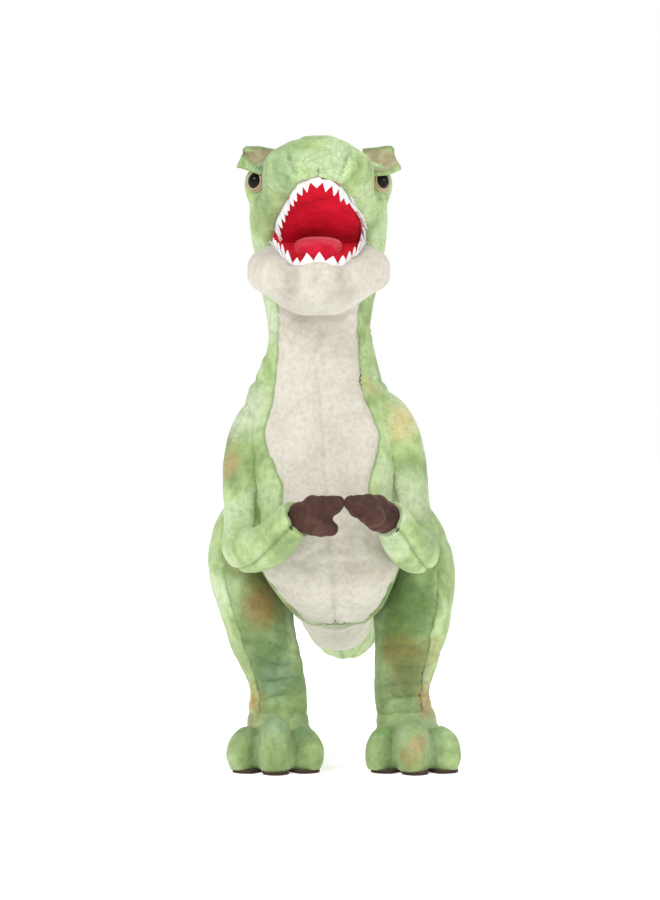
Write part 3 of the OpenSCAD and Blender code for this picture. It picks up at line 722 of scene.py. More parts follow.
def columns(v):
    """Angles of the left half's columns at rows v, in three runs.

    They end at the belly's edge, at the gusset's edge and at the middle of the back.
    """
    pale = pale_angle(TRUNK, v)
    half = rows_at(TRUNK, v)[..., 4]
    gusset = 180 - np.degrees(np.arcsin(np.minimum(GUSSET_HALF / half, 0.55) ** (SQUARENESS / 2)))
    parts = [pale * t for t in np.linspace(0, 1, PALE_COLS + 1)]
    parts += [pale + (gusset - pale) * t for t in np.linspace(0, 1, SIDE_COLS + 1)[1:]]
    parts += [gusset + (180 - gusset) * t for t in np.linspace(0, 1, TOP_COLS + 1)[1:]]
    return np.stack(parts, -1)


at, row_of = trunk_rows()
half_angles = columns(at)
n_half = half_angles.shape[1] - 1
angles = np.concatenate([half_angles, 360 - half_angles[:, -2:0:-1]], axis=1)   # once round
trunk = profile(TRUNK, at[:, None] + 0 * angles, angles)
ring_n = angles.shape[1]
COL_PALE, COL_GUSSET = PALE_COLS, PALE_COLS + SIDE_COLS


def close_ends(grid, normals, first=True, last=True):
    """Draws the first and last rings of a grid to a point each."""
    for row, near, wanted in ((0, 1, first), (-1, -2, last)):
        if wanted:
            grid[row] = grid[row].mean(0)
            middle = normals[near].mean(0)
            normals[row] = middle / np.linalg.norm(middle)
    return grid, normals


def outward(grid, normals):
    """1 where a ring grid's normals point outward, or else -1."""
    return 1 if ((grid - grid.mean(axis=1, keepdims=True)) * normals).sum(-1).mean() >= 0 else -1


def around(grid):
    """Length round each row from column 0, and each row's whole length."""
    step = np.linalg.norm(np.roll(grid, -1, 1) - grid, axis=-1)
    run = np.concatenate([np.zeros((len(grid), 1)), np.cumsum(step, axis=1)], axis=1)
    return run[:, :-1], run[:, -1:]


def down_rows(grid):
    """Length from the first row to each point, along its column."""
    step = np.linalg.norm(np.diff(grid, axis=0), axis=-1)
    return np.concatenate([np.zeros((1, grid.shape[1])), np.cumsum(step, axis=0)], axis=0)


def seam_distance(run, total, column):
    """Distance round the ring from a seam's column."""
    d = np.abs(run - run[:, column:column + 1])
    return np.minimum(d, total - d)


def nose_seam(grid):
    """Strength of the two seams that run down the front of the nose to the lip."""
    off = np.abs(grid[..., 0] - HEAD_X)
    apart = np.interp(grid[..., 2], (553, 562, 579, 598), (18, 21, 27, 31))
    return 0.7 * np.exp(-((off - apart) / 1.5) ** 2) * ease((594 - grid[..., 2]) / 14)


def shape_trunk(grid):
    """The trunk's slices with the hollows, folds and seams of the stuffed toy."""
    n = normals_of(grid, ring=True)
    run, total = around(grid)
    down = down_rows(grid)
    push = np.zeros(grid.shape[:2])
    rows_v = at[:, None]
    in_head = ease((rows_v - (HEAD_FROM + 1.5)) / 1.2)
    in_mouth = ease((rows_v - (MOUTH_FROM - 0.15)) / 0.5)
    short = ease((MOUTH_TO + 0.2 - rows_v) / 0.8)
    seams = [(COL_PALE, 2.2, 4.0, short), (ring_n - COL_PALE, 2.2, 4.0, short),
             (0, 1.8, 3.0, 1 - in_mouth),
             (n_half, 1.8, 3.2, 1 - in_head),
             (COL_GUSSET, 2.0, 3.4, in_head * short), (ring_n - COL_GUSSET, 2.0, 3.4, in_head * short)]
    # Seams drawn in, with little gathers beside them
    for k, (column, depth, width, share) in enumerate(seams):
        d = seam_distance(run, total, column)
        push -= share * depth * np.exp(-(d / width) ** 2)
        along = down + 0 * d
        push += share * 1.1 * pucker(d, along, 9.0, 7.0, 40 + k)
    # The seam round the base of the neck, on the green only
    seam_row = row_of["neck_seam"]
    d = np.abs(down - down[seam_row:seam_row + 1])
    sides = ease((angles - 40) / 25) * ease((320 - angles) / 25)
    push += sides * (-2.4 * np.exp(-(d / 4.0) ** 2) + 1.2 * pucker(d, run, 12.0, 8.0, 51))
    # The palate's hollow
    lower = ease((rows_v - MOUTH_FROM - 0.6) / 1.4) * ease((len(TRUNK) - 2.6 - rows_v) / 1.5)
    across = np.minimum(angles, 360 - angles) / pale_angle(TRUNK, at)[:, None]
    push -= 3.5 * lower * np.clip(1 - across ** 2, 0, 1)
    push -= 3.5 * nose_seam(grid) * (rows_v > MOUTH_TO + 0.15)
    # Lumps of the filling, the veins of the pile on the head, and folds round the neck
    furry = 1 - in_mouth * (across < 1)
    for amount, size, seed in ((1.4, 52, 3), (0.5, 24, 4), (0.2, 9, 5)):
        push += furry * amount * value_noise(grid, size, seed)
    wander = 4 * np.stack([value_noise(grid, 12, seed) for seed in (6, 7, 8)], -1)
    head_veins = crackle(grid + wander, 9.5, 9)
    push += in_head * (across >= 1) * 0.5 * (head_veins - 1)
    folds = value_noise(grid * (0.35, 0.35, 1.0), 13, 12)
    neck = ease((grid[..., 2] - 330) / 40) * ease((470 - grid[..., 2]) / 30)
    push += 0.9 * neck * folds
    return grid + n * (push * np.clip(total / 110 - 0.15, 0, 1))[..., None]


# The top of the snout is a narrow dome
high = ease((trunk[..., 2] - 582) / 14)
off_middle = trunk[..., 0] - HEAD_X
trunk[..., 0] -= 0.15 * high * off_middle
trunk[..., 2] += 1.5 * high * np.clip(1 - (off_middle / 40) ** 2, 0, 1)
below_head = ease((HEAD_FROM + 1.2 - at) / 1.5)[:, None, None]
sewn = (0, COL_PALE, COL_GUSSET, n_half, ring_n - COL_GUSSET, ring_n - COL_PALE)
trunk = stuffed(trunk, sewn, 3, 1.7, "trunk_cloth", below_head)
trunk = shape_trunk(trunk)


EYE_TURN, EYE_TILT = math.radians(52), math.radians(4)   # from sideways to the front, and up


def eye_frame(s):
    """Centre of an eye's fabric disc, with directions outward, across and up, in row coordinates."""
    flat = math.cos(EYE_TILT)
    out = np.array([s * math.cos(EYE_TURN) * flat, -math.sin(EYE_TURN) * flat, math.sin(EYE_TILT)])
    centre = leaned((s * 60.0, -86.0, 566.0))
    across = np.cross([0, 0, 1.0], out)
    across /= np.linalg.norm(across)
    return centre, out, across, np.cross(out, across)


# A flat seat under each eye's disc
for s in (RIGHT, LEFT):
    centre, out, across, up = eye_frame(s)
    flat = trunk - centre
    depth = flat @ out
    radius = np.linalg.norm(flat - depth[..., None] * out, axis=-1)
    near = ease((26 - radius) / 14) * (np.abs(depth) < 30)
    trunk = trunk + (near * (-1.2 - depth))[..., None] * out

trunk, trunk_normals = close_ends(trunk, normals_of(trunk, ring=True))
# The lining's last sliver runs out under the nose: it shades as the cloth beside it
for r in range(row_of["lip"], len(at) - 1):
    beside = trunk_normals[r, COL_PALE + 3] + trunk_normals[r, ring_n - COL_PALE - 3]
    sliver = np.arange(-COL_PALE - 2, COL_PALE + 3) % ring_n
    trunk_normals[r, sliver] = beside / np.linalg.norm(beside)


def trunk_piece(name, first_row, last_row, cols, material, node, seam=None):
    """A panel of the trunk's skin between two rows and two columns."""
    rows = slice(row_of[first_row], row_of[last_row] + 1)
    cols = np.arange(cols[0], cols[1] + 1) % ring_n
    return panel(name, trunk[rows][:, cols], trunk_normals[rows][:, cols], material, node, seam)


def bend(objs):
    """Bakes these skins' transforms into their meshes."""
    for obj in objs:
        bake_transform(obj)


def sided_cols(s, first, last):
    """Column range on one side of the toy, mirrored for its right."""
    return (first, last) if s > 0 else (ring_n - last, ring_n - first)


soft = []
body_skins, neck_skins = [], []
for side, s in SIDES.items():
    pale, flank = sided_cols(s, 0, COL_PALE), sided_cols(s, COL_PALE, n_half)
    body_skins += [
        trunk_piece(f"belly_{side}", "bottom", "neck_seam", pale, IVORY,
                    f"belly_panel_{side}"),
        trunk_piece(f"flank_{side}", "bottom", "neck_seam", flank, GREEN,
                    f"body_side_{side}"),
        trunk_piece(f"neck_base_{side}", "neck_seam", "neck_cut", flank, GREEN_WAVY,
                    f"neck_side_{side}")]
    neck_skins += [
        trunk_piece(f"nape_{side}", "neck_cut", "head", flank, GREEN_WAVY,
                    f"neck_side_{side}"),
        trunk_piece(f"skull_{side}", "head", "lip", sided_cols(s, COL_PALE, COL_GUSSET), GREEN_WAVY,
                    f"skull_side_{side}")]
middle = (-COL_PALE, COL_PALE)
throat = trunk_piece("throat", "neck_seam", "neck_cut", middle, IVORY, "throat_panel")
gullet = trunk_piece("under_head", "neck_cut", "mouth", middle, IVORY, "under_head_panel")
palate = trunk_piece("palate", "mouth", "lip", middle, RED, "palate_lining")
gusset = trunk_piece("gusset", "head", "lip", (COL_GUSSET, ring_n - COL_GUSSET), GREEN_WAVY,
                     "snout_top")
# The nose's skin gets painted shade along its two pressed-in seams
nose = trunk_piece("nose", "lip", "end", (0, ring_n), GREEN_WAVY, "snout_top", nose_seam(
    trunk[row_of["lip"]:][:, np.arange(ring_n + 1) % ring_n]))
body_skins.append(throat)
neck_skins += [gullet, palate, gusset, nose]
bend(body_skins)
bend(neck_skins)
soft += body_skins + neck_skins

# ---------------------------------------------------------------------------------------
# Jaw: a cushion of its own below the mouth

JAW_PALE, JAW_SIDE = ((22, 44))
dense = np.linspace(0, len(JAW) - 1, 400)
jaw_v = even_steps(rim_lines(JAW, dense, (0.01, 90, 180), SQUARENESS), dense, 1.7 * CELL)
lining_share = np.minimum(rows_at(JAW, jaw_v)[:, 5] / rows_at(JAW, jaw_v)[:, 4], 0.98)
lip_angle = (180 - np.degrees(np.arcsin(lining_share ** (JAW_SQUARENESS / 2))))[:, None]
half = np.concatenate([lip_angle * np.linspace(0, 1, JAW_SIDE + 1),
                       lip_angle + (180 - lip_angle) * np.linspace(0, 1, JAW_PALE + 1)[1:]], 1)
jaw_angles = np.concatenate([half, 360 - half[:, -2:0:-1]], axis=1)
jaw_n = jaw_angles.shape[1]
jaw = profile(JAW, jaw_v[:, None] + 0 * jaw_angles, jaw_angles, JAW_SQUARENESS)
# The jaw's sides stand higher than its middle
outer = ease((np.abs(jaw[..., 0] - HEAD_X) - 12) / 46)
jaw[..., 2] += outer * (4.5 + 10.0 * np.clip((495 - jaw[..., 2]) / 50, 0, 1))
# Its side seams, the chin with a groove on either side, and lumps of the filling
n = normals_of(jaw, ring=True)
run, total = around(jaw)
push = np.zeros(jaw.shape[:2])
for k, column in enumerate((JAW_SIDE, jaw_n - JAW_SIDE)):
    d = seam_distance(run, total, column)
    push += -1.6 * np.exp(-(d / 3.2) ** 2) + 0.8 * pucker(d, down_rows(jaw), 8.0, 7.0, 60 + k)
from_middle = (jaw[..., 0] - HEAD_X) / 19
from_groove = (np.abs(jaw[..., 0] - HEAD_X) - 25) / 9
front = ease((-100 - jaw[..., 1]) / 25)
chin = 8.5 * np.exp(-from_middle ** 2) - 7.0 * np.exp(-from_groove ** 2)
push += front * chin * ease((489 - jaw[..., 2]) / 16) * ease((jaw[..., 2] - 440) / 14)
# Painted shade in the grooves on either side of the chin
jaw_shade = 0.7 * front * np.exp(-from_groove ** 2)
jaw_shade *= ease((492 - jaw[..., 2]) / 16) * ease((jaw[..., 2] - 438) / 20)
push += 1.1 * value_noise(jaw, 34, 13) + 0.5 * value_noise(jaw, 15, 14)
jaw = jaw + n * (push * np.clip(total / 90 - 0.15, 0, 1))[..., None]
jaw, jaw_normals = close_ends(jaw, normals_of(jaw, ring=True))
JAW_FRONT = 9.0                   # row where the lining ends at the front
jaw_parts = []
front_row = int(np.argmin(np.abs(jaw_v - JAW_FRONT)))
for name, rows, first, last, material, slot, node in (
        ("chin", slice(0, front_row + 1), -JAW_SIDE, JAW_SIDE, IVORY, "ivory_velour", "chin_cover"),
        ("chin_front", slice(front_row, None), 0, jaw_n, IVORY, "ivory_velour", "chin_cover"),
        ("mouth_bed", slice(0, front_row + 1), JAW_SIDE, jaw_n - JAW_SIDE, RED, "red_velour", "mouth_floor")):
    cols = np.arange(first, last + 1) % jaw_n
    some = jaw[rows][:, cols]
    jaw_parts.append(panel(name, some, jaw_normals[rows][:, cols], material, node,
                           np.zeros(some.shape[:2]) if first == 0 else None,
                           None if name == "mouth_bed" else jaw_shade[rows][:, cols]))
bend(jaw_parts)
soft += jaw_parts

# ---------------------------------------------------------------------------------------
# Limbs


def limb_grid(rows, marks):
    """A limb's grid whose columns fall on the seams at these angles (the last is the first plus 360)."""
    dense = np.linspace(0, len(rows) - 1, 500)
    v = even_steps(rows_at(rows, dense)[:, :3], dense, CELL)
    wide = float(np.max(rows[:, 3] * rows[:, 4]))
    cuts, turned = [0], [marks[0]]
    for a, b in zip(marks[:-1], marks[1:]):
        count = max(int(abs(b - a) / 360 * 2 * math.pi * wide / CELL), 3)
        turned += list(np.linspace(a, b, count + 1)[1:])
        cuts.append(len(turned) - 1)
    turned = np.array(turned[:-1])
    return v, turned, cuts


def limb_skin(rows, s, marks, seed, wrinkles):
    """A limb's ring grid with its seams, puckers and folds, and the painted shade in its folds."""
    v, turned, cuts = limb_grid(rows, marks)
    vv, aa = np.meshgrid(v, turned, indexing="ij")
    grid = stuffed(limb(rows, vv, aa, s), cuts[:-1], 3, 1.5, "limb_cloth")
    n = normals_of(grid, ring=True)
    facing = outward(grid, n)
    n = n * facing
    run, total = around(grid)
    down = down_rows(grid)
    push = np.zeros(grid.shape[:2])
    for k, cut in enumerate(cuts[:-1]):
        d = seam_distance(run, total, cut)
        push += -1.5 * np.exp(-(d / 2.8) ** 2) + 0.9 * pucker(d, down, 8.0, 6.5, seed + k)
    push += 1.0 * value_noise(grid, 32, seed + 5) + 0.5 * value_noise(grid, 14, seed + 6)
    shade = np.zeros(grid.shape[:2])
    for centre, reach, amount, period, tilt in wrinkles:
        away = np.linalg.norm(grid - np.asarray(leaned((centre[0] * s, centre[1], centre[2]))), axis=-1)
        phase = grid @ (tilt, 0.3, 1.0) + 2.5 * value_noise(grid, 22, seed + 9)
        wave = np.abs(np.sin(math.pi * phase / period))
        near = np.exp(-(away / reach) ** 2)
        push += amount * near * 1.6 * (np.sqrt(wave) - 0.7)
        # Painted shade along the bottoms of the folds
        shade = np.maximum(shade, 0.3 * amount * near * np.exp(-(wave / 0.3) ** 2))
    grid = grid + n * push[..., None]
    return grid, cuts, facing, np.minimum(shade, 0.75)


def limb_panels(grid, cuts, facing, shade, names, materials, nodes):
    """Cuts a limb's ring grid into panels along its seam columns."""
    grid, normals = close_ends(grid, normals_of(grid, ring=True) * facing, last=False)
    made = []
    for k, name in enumerate(names):
        cols = np.arange(cuts[k], cuts[k + 1] + 1)[::facing] % grid.shape[1]
        made.append(panel(name, grid[:, cols], normals[:, cols], materials[k], nodes[k],
                          folds=shade[:, cols]))
    return made


def paint_node(name, material):
    """Shows a node of the CAD as it is, in this material."""
    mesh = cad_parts[name].data
    mesh.materials.clear()
    mesh.materials.append(material)


def blob(name, balls, voxel, smooth, material, cut_z=None):
    """One closed skin around ellipsoids (centre, radii, turn about Z in degrees), by voxel remeshing."""
    verts, faces = [], []
    lats, lons = 18, 28
    for centre, radii, turn in balls:
        base = len(verts)
        c, q = math.cos(math.radians(turn)), math.sin(math.radians(turn))
        for i in range(1, lats):
            for j in range(lons):
                th, ph = math.pi * i / lats, 2 * math.pi * j / lons
                p = np.array([math.sin(th) * math.cos(ph), math.sin(th) * math.sin(ph), math.cos(th)]) * radii
                verts.append(np.array(centre) + (c * p[0] - q * p[1], q * p[0] + c * p[1], p[2]))
        top = len(verts)
        verts.append(np.array(centre) + (0, 0, radii[2]))
        verts.append(np.array(centre) - (0, 0, radii[2]))
        for j in range(lons):
            k = (j + 1) % lons
            faces.append((base + j, base + k, top))
            faces.append((base + (lats - 2) * lons + k, base + (lats - 2) * lons + j, top + 1))
            for i in range(lats - 2):
                a = base + i * lons
                faces.append((a + j, a + lons + j, a + lons + k, a + k))
    mesh = bpy.data.meshes.new(name)
    mesh.from_pydata([tuple(v) for v in to_world(np.array(verts))], [], faces)
    obj = bpy.data.objects.new(name, mesh)
    bpy.context.scene.collection.objects.link(obj)
    for kind, settings in (("REMESH", {"mode": "VOXEL", "voxel_size": voxel * MM}),
                           ("SMOOTH", {"factor": 0.5, "iterations": smooth})):
        modifier = obj.modifiers.new(kind, kind)
        for key, value in settings.items():
            setattr(modifier, key, value)
    applied = bpy.data.meshes.new_from_object(obj.evaluated_get(bpy.context.evaluated_depsgraph_get()))
    obj.modifiers.clear()
    obj.data = applied
    co = np.array([v.co for v in applied.vertices]) / MM + BOX_MIDDLE
    normal = np.array([v.normal for v in applied.vertices])
    co += normal * (0.7 * value_noise(co, 18, len(balls)) + 0.4 * value_noise(co, 8, 77))[:, None]
    if cut_z is not None:
        co[:, 2] = np.maximum(co[:, 2], cut_z)
    applied.vertices.foreach_set("co", to_world(co).astype(np.float32).ravel())
    applied.materials.clear()
    applied.materials.append(material)
    applied.polygons.foreach_set("use_smooth", [True] * len(applied.polygons))
    applied.update()
    return obj


# Balls that each mitten hand is blended from: centre on the toy's left, half sizes
MITTEN = {
    "right": [((24, -150, 248), (15, 14, 15.5)), ((13, -156, 251), (13, 12, 19)),
              ((4, -161, 256), (12, 10.5, 13.5)), ((-5, -165, 260), (9.5, 9, 10)),
              ((-11, -168, 263), (6.5, 6.5, 7)), ((6, -161, 240), (9.5, 10, 9)),
              ((-2, -164, 239.5), (8, 8.5, 7.5))],
    "left": [((53, -148, 249), (15, 14, 15.5)), ((46, -155, 253), (13, 12, 17.5)),
             ((38, -160, 257), (12, 11, 14.5)), ((29, -164, 260), (10, 9.5, 11)),
             ((22, -167, 263), (6.5, 7, 7.5)), ((44, -169, 250), (9.5, 9, 9)),
             ((39, -172, 247), (7, 7, 7))]}
# The same of both feet, and the turn of each ball in degrees: instep, sole and heel
FOOT = [
    ((63.5, 3, 42), (30.5, 31, 26), 0), ((64, -6, 28), (33, 32, 28), 0), ((63, 12, 24), (34, 30, 27), 0),
    ((66.5, -15, 9), (41, 41, 12), 0), ((65, 13, 11), (35, 34, 14), 0)]
TOE_TURN = 34                             # from one toe to the next, degrees
OUTER_TOE = (48, 17.5, (15.5, 28, 26))    # reach, height, half sizes
MIDDLE_TOE = (52, 23, (18, 28, 32))


def toes():
    """The balls of one foot's three toes."""
    for k in (-1, 0, 1):
        reach, height, radii = OUTER_TOE if k else MIDDLE_TOE
        a = math.radians(TOE_TURN * k)
        yield (66.5 + reach * math.sin(a), 4 - reach * math.cos(a), height), radii, TOE_TURN * k


for side, s in SIDES.items():
    # Arm and mitten hand
    creases = [((82, -62, 224), 18, 1.4, 9.0, 0.6), ((80, -30, 300), 18, 0.9, 11.0, 0.3)]
    arm = limb_panels(*limb_skin(arm_rows(s), s, (-60, 125, 300), 100 + 20 * s, creases),
                      (f"upper_arm_out_{side}", f"upper_arm_in_{side}"), (GREEN, GREEN),
                      (f"arm_outer_{side}", f"arm_inner_{side}"))
    bend(arm)
    balls = [(leaned((s * c[0], c[1], c[2])), r, 0) for c, r in MITTEN[side]]
    hand = blob(f"mitten_{side}", balls, 1.6, 8, BROWN)
    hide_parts(f"hand_{side}")
    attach(hand, f"arm_{side}")
    soft += arm + [hand]

    # Leg
    creases = [((62, -34, 116), 30, 3.0, 17.0, 0.15), ((62, -28, 82), 26, 3.0, 14.0, -0.1),
               ((70, -10, 62), 20, 1.0, 9.0, 0.0), ((60, -36, 205), 24, 1.0, 13.0, 0.7)]
    leg = limb_panels(*limb_skin(LEG, s, (-100, 52, 260), 200 + 20 * s, creases),
                      (f"thigh_out_{side}", f"thigh_in_{side}"), (GREEN, GREEN_DEEP),
                      (f"leg_outer_{side}", f"leg_inner_{side}"))
    bend(leg)
    # Foot: an instep, a heel and three toes over a flat sole
    balls = [(leaned((s * c[0], c[1], c[2])), r, s * t) for c, r, t in (*FOOT, *toes())]
    cover = blob(f"foot_{side}", balls, 2.0, 4, GREEN_FOOT, 3.0)
    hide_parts(f"foot_top_{side}")
    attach(cover, f"leg_{side}")
    paint_node(f"sole_{side}", SOLE)
    soft += leg + [cover]


# Tail: white underside to the bend, then a slim tip


def tail_skins():
    """The tail's five panels, from its root to its tip."""
    dense = np.linspace(0, len(TAIL) - 1, 600)
    points = rows_at(TAIL, dense)[:, :3]
    lower, upper = dense <= TAIL_CUT, dense >= TAIL_CUT
    v = np.concatenate([even_steps(points[lower], np.append(dense[lower][:-1], TAIL_CUT), CELL),
                        even_steps(points[upper], np.append(TAIL_CUT, dense[upper][1:]), CELL)[1:]])
    cut_row = int(np.argmin(np.abs(v - TAIL_CUT)))
    white = np.maximum(WHITE_HALF * (1 - ease((v - 4.2) / 2.6)), 1.0)
    under, side = ((14, 40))
    left = [90 - white * t for t in np.linspace(0, 1, under + 1)]
    left += [90 - white - (180 - white) * t for t in np.linspace(0, 1, side + 1)[1:]]
    left = np.stack(left, -1)     # from the underside's middle round the toy's left to the top
    turned = np.concatenate([left, 180 - left[:, -2:0:-1]], 1)
    grid = limb(TAIL, v[:, None] + 0 * turned, turned, 1)
    sewn = (under, turned.shape[1] - under, under + side)
    grid = stuffed(grid, sewn, 3, 1.6, "tail_cloth", (white / WHITE_HALF)[:, None, None])
    n = normals_of(grid, ring=True)
    flip = outward(grid, n)
    n = n * flip
    run, total = around(grid)
    top = under + side
    push = 1.0 * value_noise(grid, 34, 31) + 0.5 * value_noise(grid, 15, 32)
    for k, column in enumerate((under, grid.shape[1] - under, top)):
        d = seam_distance(run, total, column)
        push += -1.6 * np.exp(-(d / 3.0) ** 2) + 0.9 * pucker(d, down_rows(grid), 8.0, 7.0, 70 + k)
    shrink = np.clip(np.linalg.norm(grid - grid.mean(axis=1, keepdims=True), axis=-1) / 12, 0, 1)
    grid = grid + n * (push * shrink)[..., None]
    normals = normals_of(grid, ring=True) * flip
    made = []
    n_ring = grid.shape[1]
    root, tip = slice(0, cut_row + 1), slice(cut_row, None)
    for name, rows, first, last, node in (
            ("tail_under", root, -under, under, "tail_underside"),
            ("tail_left", root, under, top, "tail_side_left"),
            ("tail_right", root, top, n_ring - under, "tail_side_right"),
            ("tail_end_left", tip, 0, top, "tail_tip_side_left"),
            ("tail_end_right", tip, top, n_ring, "tail_tip_side_right")):
        material, slot = (IVORY, "ivory_velour") if name == "tail_under" else (GREEN, "green_plush")
        cols = np.arange(first, last + 1)[::flip] % n_ring
        made.append(panel(name, grid[rows][:, cols], normals[rows][:, cols], material, node))
    return made


tail = tail_skins()
bend(tail[:3])
bend(tail[3:])
soft += tail

# ---------------------------------------------------------------------------------------
# Face


def lathe(name, outline, centre, out, material, count=48):
    """A closed turned solid round the direction out.

    Its outline is (radius, height) pairs that begin and end on the axis.
    """
    out = np.asarray(out, float)
    across = np.cross([0, 0, 1.0], out)
    across /= np.linalg.norm(across)
    up = np.cross(out, across)
    verts, faces = [], []
    inner = outline[1:-1]
    for r, h in inner:
        for j in range(count):
            a = 2 * math.pi * j / count
            verts.append(centre + h * out + r * (math.cos(a) * across + math.sin(a) * up))
    first, last = len(verts), len(verts) + 1
    verts += [centre + outline[0][1] * out, centre + outline[-1][1] * out]
    for j in range(count):
        k = (j + 1) % count
        faces.append((first, j, k))
        for i in range(len(inner) - 1):
            faces.append((i * count + j, (i + 1) * count + j, (i + 1) * count + k, i * count + k))
        base = (len(inner) - 1) * count
        faces.append((base + j, last, base + k))
    obj = mesh_object(name, to_world(np.array(verts)), faces, material)
    sharpen(obj, 40)
    return obj


def dome(radius, height, base, steps=10):
    """Outline of a dome of this radius and height that stands on a flat base."""
    ball = (radius ** 2 + height ** 2) / (2 * height)
    top = math.asin(min(radius / ball, 1))
    arc = [(ball * math.sin(top * t), base + height - ball + ball * math.cos(top * t))
           for t in np.linspace(0, 1, steps)]
    return [*arc, (radius, base - 1.0), (0, base - 1.0)]


# Height of each brow's turned-up front edge along it
BROW_FOLD = {"right": ([0, 0.3, 0.5, 0.7, 0.85, 1], [0, 2, 5, 9, 12, 11]),
             "left": ([0, 0.6, 0.8, 1], [-1, -1, 0, 4])}

for side, s in SIDES.items():
    centre, out, across, up = eye_frame(s)
    disc = [(0, 0.6), (9.0, 0.6), (10.6, 0.4), (11.3, -0.3), (11.5, -1.2), (11.2, -2.4), (0, -2.4)]
    patch = lathe(f"eye_felt_{side}", disc, centre, out, TAN)
    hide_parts(f"eye_patch_{side}")
    ring = lathe(f"iris_{side}", dome(8.6, 2.6, 1.4), centre, out, EYE_RING)
    pupil = lathe(f"pupil_{side}", dome(7.7, 4.6, 1.6, 14), centre, out, EYE_BLACK)
    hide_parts(f"eye_{side}")
    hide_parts(f"eye_{side}")
    for obj in (patch, ring, pupil):
        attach(obj, "head")

    # Brow: a strip folded into a pocket over the eye, plush outside and lined inside
    fold = BROW_FOLD[side]
    u = np.linspace(0, 1, 25)[:, None]
    t = np.linspace(0, 1, 29)[None, :]
    tip = np.clip((u - 0.75) / 0.25, 0, 1) ** 2
    x = 42 + 34 * u + 2 * np.sin(math.pi * t) - 4 * tip * (2 * t - 1) ** 2
    top = 600.0 - 7.5 * tip - 2.0 * (1 - u) ** 2
    low = 572.5 + 6.0 * u ** 2
    height = np.interp(u, *fold)
    control = [(-64 - 9 * u, top), (-58 - 18 * u, low + 2), (-106 + 16 * u, low - 5),
               (-97 + 10 * u, low + height)]
    weights = [(1 - t) ** 3, 3 * t * (1 - t) ** 2, 3 * t ** 2 * (1 - t), t ** 3]
    y = sum(w * c[0] for w, c in zip(weights, control))
    z = sum(w * c[1] for w, c in zip(weights, control))
    leaf = leaned(np.stack([s * (x + 0 * t), y, z], -1))
    leaf = leaf + 0.7 * np.stack([value_noise(leaf, 10, 80 + k) for k in range(3)], -1)
    n = normals_of(leaf)
    if (n[:, 0, 1]).mean() < 0:
        leaf = leaf[:, ::-1]
        n = normals_of(leaf)
    rim = np.exp(-(leaf[..., 2:3] - leaf[..., 2:3].max(axis=1, keepdims=True)) ** 2 / 6) * (0, 0, 1.6)
    flap = skin(f"brow_{side}", leaf + 1.5 * n + rim, GREEN_WAVY, 1.4, n)
    under = skin(f"brow_under_{side}", (leaf + 0.05 * n)[:, ::-1], TAN, 1.2, -n[:, ::-1])
    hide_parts(f"brow_flap_{side}")
    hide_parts(f"brow_lining_{side}")
    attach(flap, "head")
    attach(under, "head")


def felt_teeth(name, path, hang, inward, node, body, count, length, valley, seed):
    """A strip of felt with a cut zigzag edge, sewn under the lip."""
    rng = np.random.RandomState(seed)
    per = 8
    run = np.concatenate([[0], np.cumsum(np.linalg.norm(np.diff(path, axis=0), axis=1))])
    pitch = np.cumsum(rng.uniform(0.8, 1.2, count))
    edges = np.concatenate([[0], pitch / pitch[-1]]) * run[-1]
    where = np.unique(np.concatenate([np.linspace(a, b, per + 1) for a, b in zip(edges[:-1], edges[1:])]))
    which = np.clip(np.searchsorted(edges, where, side="right") - 1, 0, count - 1)
    phase = (where - edges[which]) / (edges[which + 1] - edges[which])
    long = length * rng.uniform(0.85, 1.15, count)[which]
    lean = rng.uniform(-0.12, 0.12, count)[which]
    deep = valley + (long - valley) * np.clip(1 - np.abs(2 * phase - 1), 0, 1) ** 0.9

    def on(table):
        return np.stack([np.interp(where, run, table[:, k]) for k in range(3)], -1)

    top, down, back = on(path), on(hang), on(inward)
    down /= np.linalg.norm(down, axis=1, keepdims=True)
    tangent = np.gradient(top, axis=0)
    tangent /= np.maximum(np.linalg.norm(tangent, axis=1, keepdims=True), 1e-9)
    flutter = rng.uniform(-1, 1, count)[which]
    rows = []
    for k in np.linspace(0, 1, 7):
        drop = down * (deep * k)[:, None] + tangent * (lean * deep * k)[:, None]
        rows.append(top - 2.0 * down + drop - back * (flutter * 1.2 * k ** 2)[:, None] + back * 0.6)
    grid = np.stack(rows)
    obj = skin(name, grid, FELT, 1.1)
    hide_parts(node)
    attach(obj, body)
    return obj


def lip_edges(grid, normals, rows, col, depth):
    """The lip's right and left edge at these rows, this far under the skin."""
    return [grid[rows, c] - depth * normals[rows, c] for c in (-col, col)]


def level_way(lip, middle):
    """Level unit vectors from the lip's points to the middle of the mouth."""
    way = middle - lip
    way[:, 2] = 0
    return way / np.linalg.norm(way, axis=1, keepdims=True)


MOUTH_HALF = 42.0
right_lip, left_lip = lip_edges(trunk, trunk_normals, np.arange(row_of["mouth"] + 3, row_of["lip"] + 1),
                                COL_PALE, 1.4)
lip = np.concatenate([right_lip[:-1], left_lip[::-1]])
mouth_middle = leaned((0, -105, 530))
to_middle = level_way(lip, mouth_middle)
along = np.linspace(-1, 1, len(lip))
flare = np.where(along > 0, np.exp(-((along - 0.55) / 0.3) ** 2),
                 0.25 * np.exp(-((along + 0.55) / 0.3) ** 2))
inwards = (mouth_middle - lip) * (1, 0, 0) / MOUTH_HALF
drop = (0, -0.15, -0.9) + 0.75 * inwards - 1.9 * flare[:, None] * inwards
felt_teeth("teeth_upper", lip, drop, to_middle, "upper_teeth", "head", count=22, length=14.0, valley=6.3,
           seed=21)

# A second row, flared out, at the toy's left corner
splay = np.abs(along)[:, None] * (-0.6, 0, 0) + (0.9, -0.5, -0.75)
some = (along > 0.32) & (along < 0.92)
felt_teeth("teeth_fringe_upper", lip[some] + (0.8, -1.0, 0.4), splay[some], to_middle[some], "upper_teeth",
           "head", count=15, length=10.0, valley=1.5, seed=31)

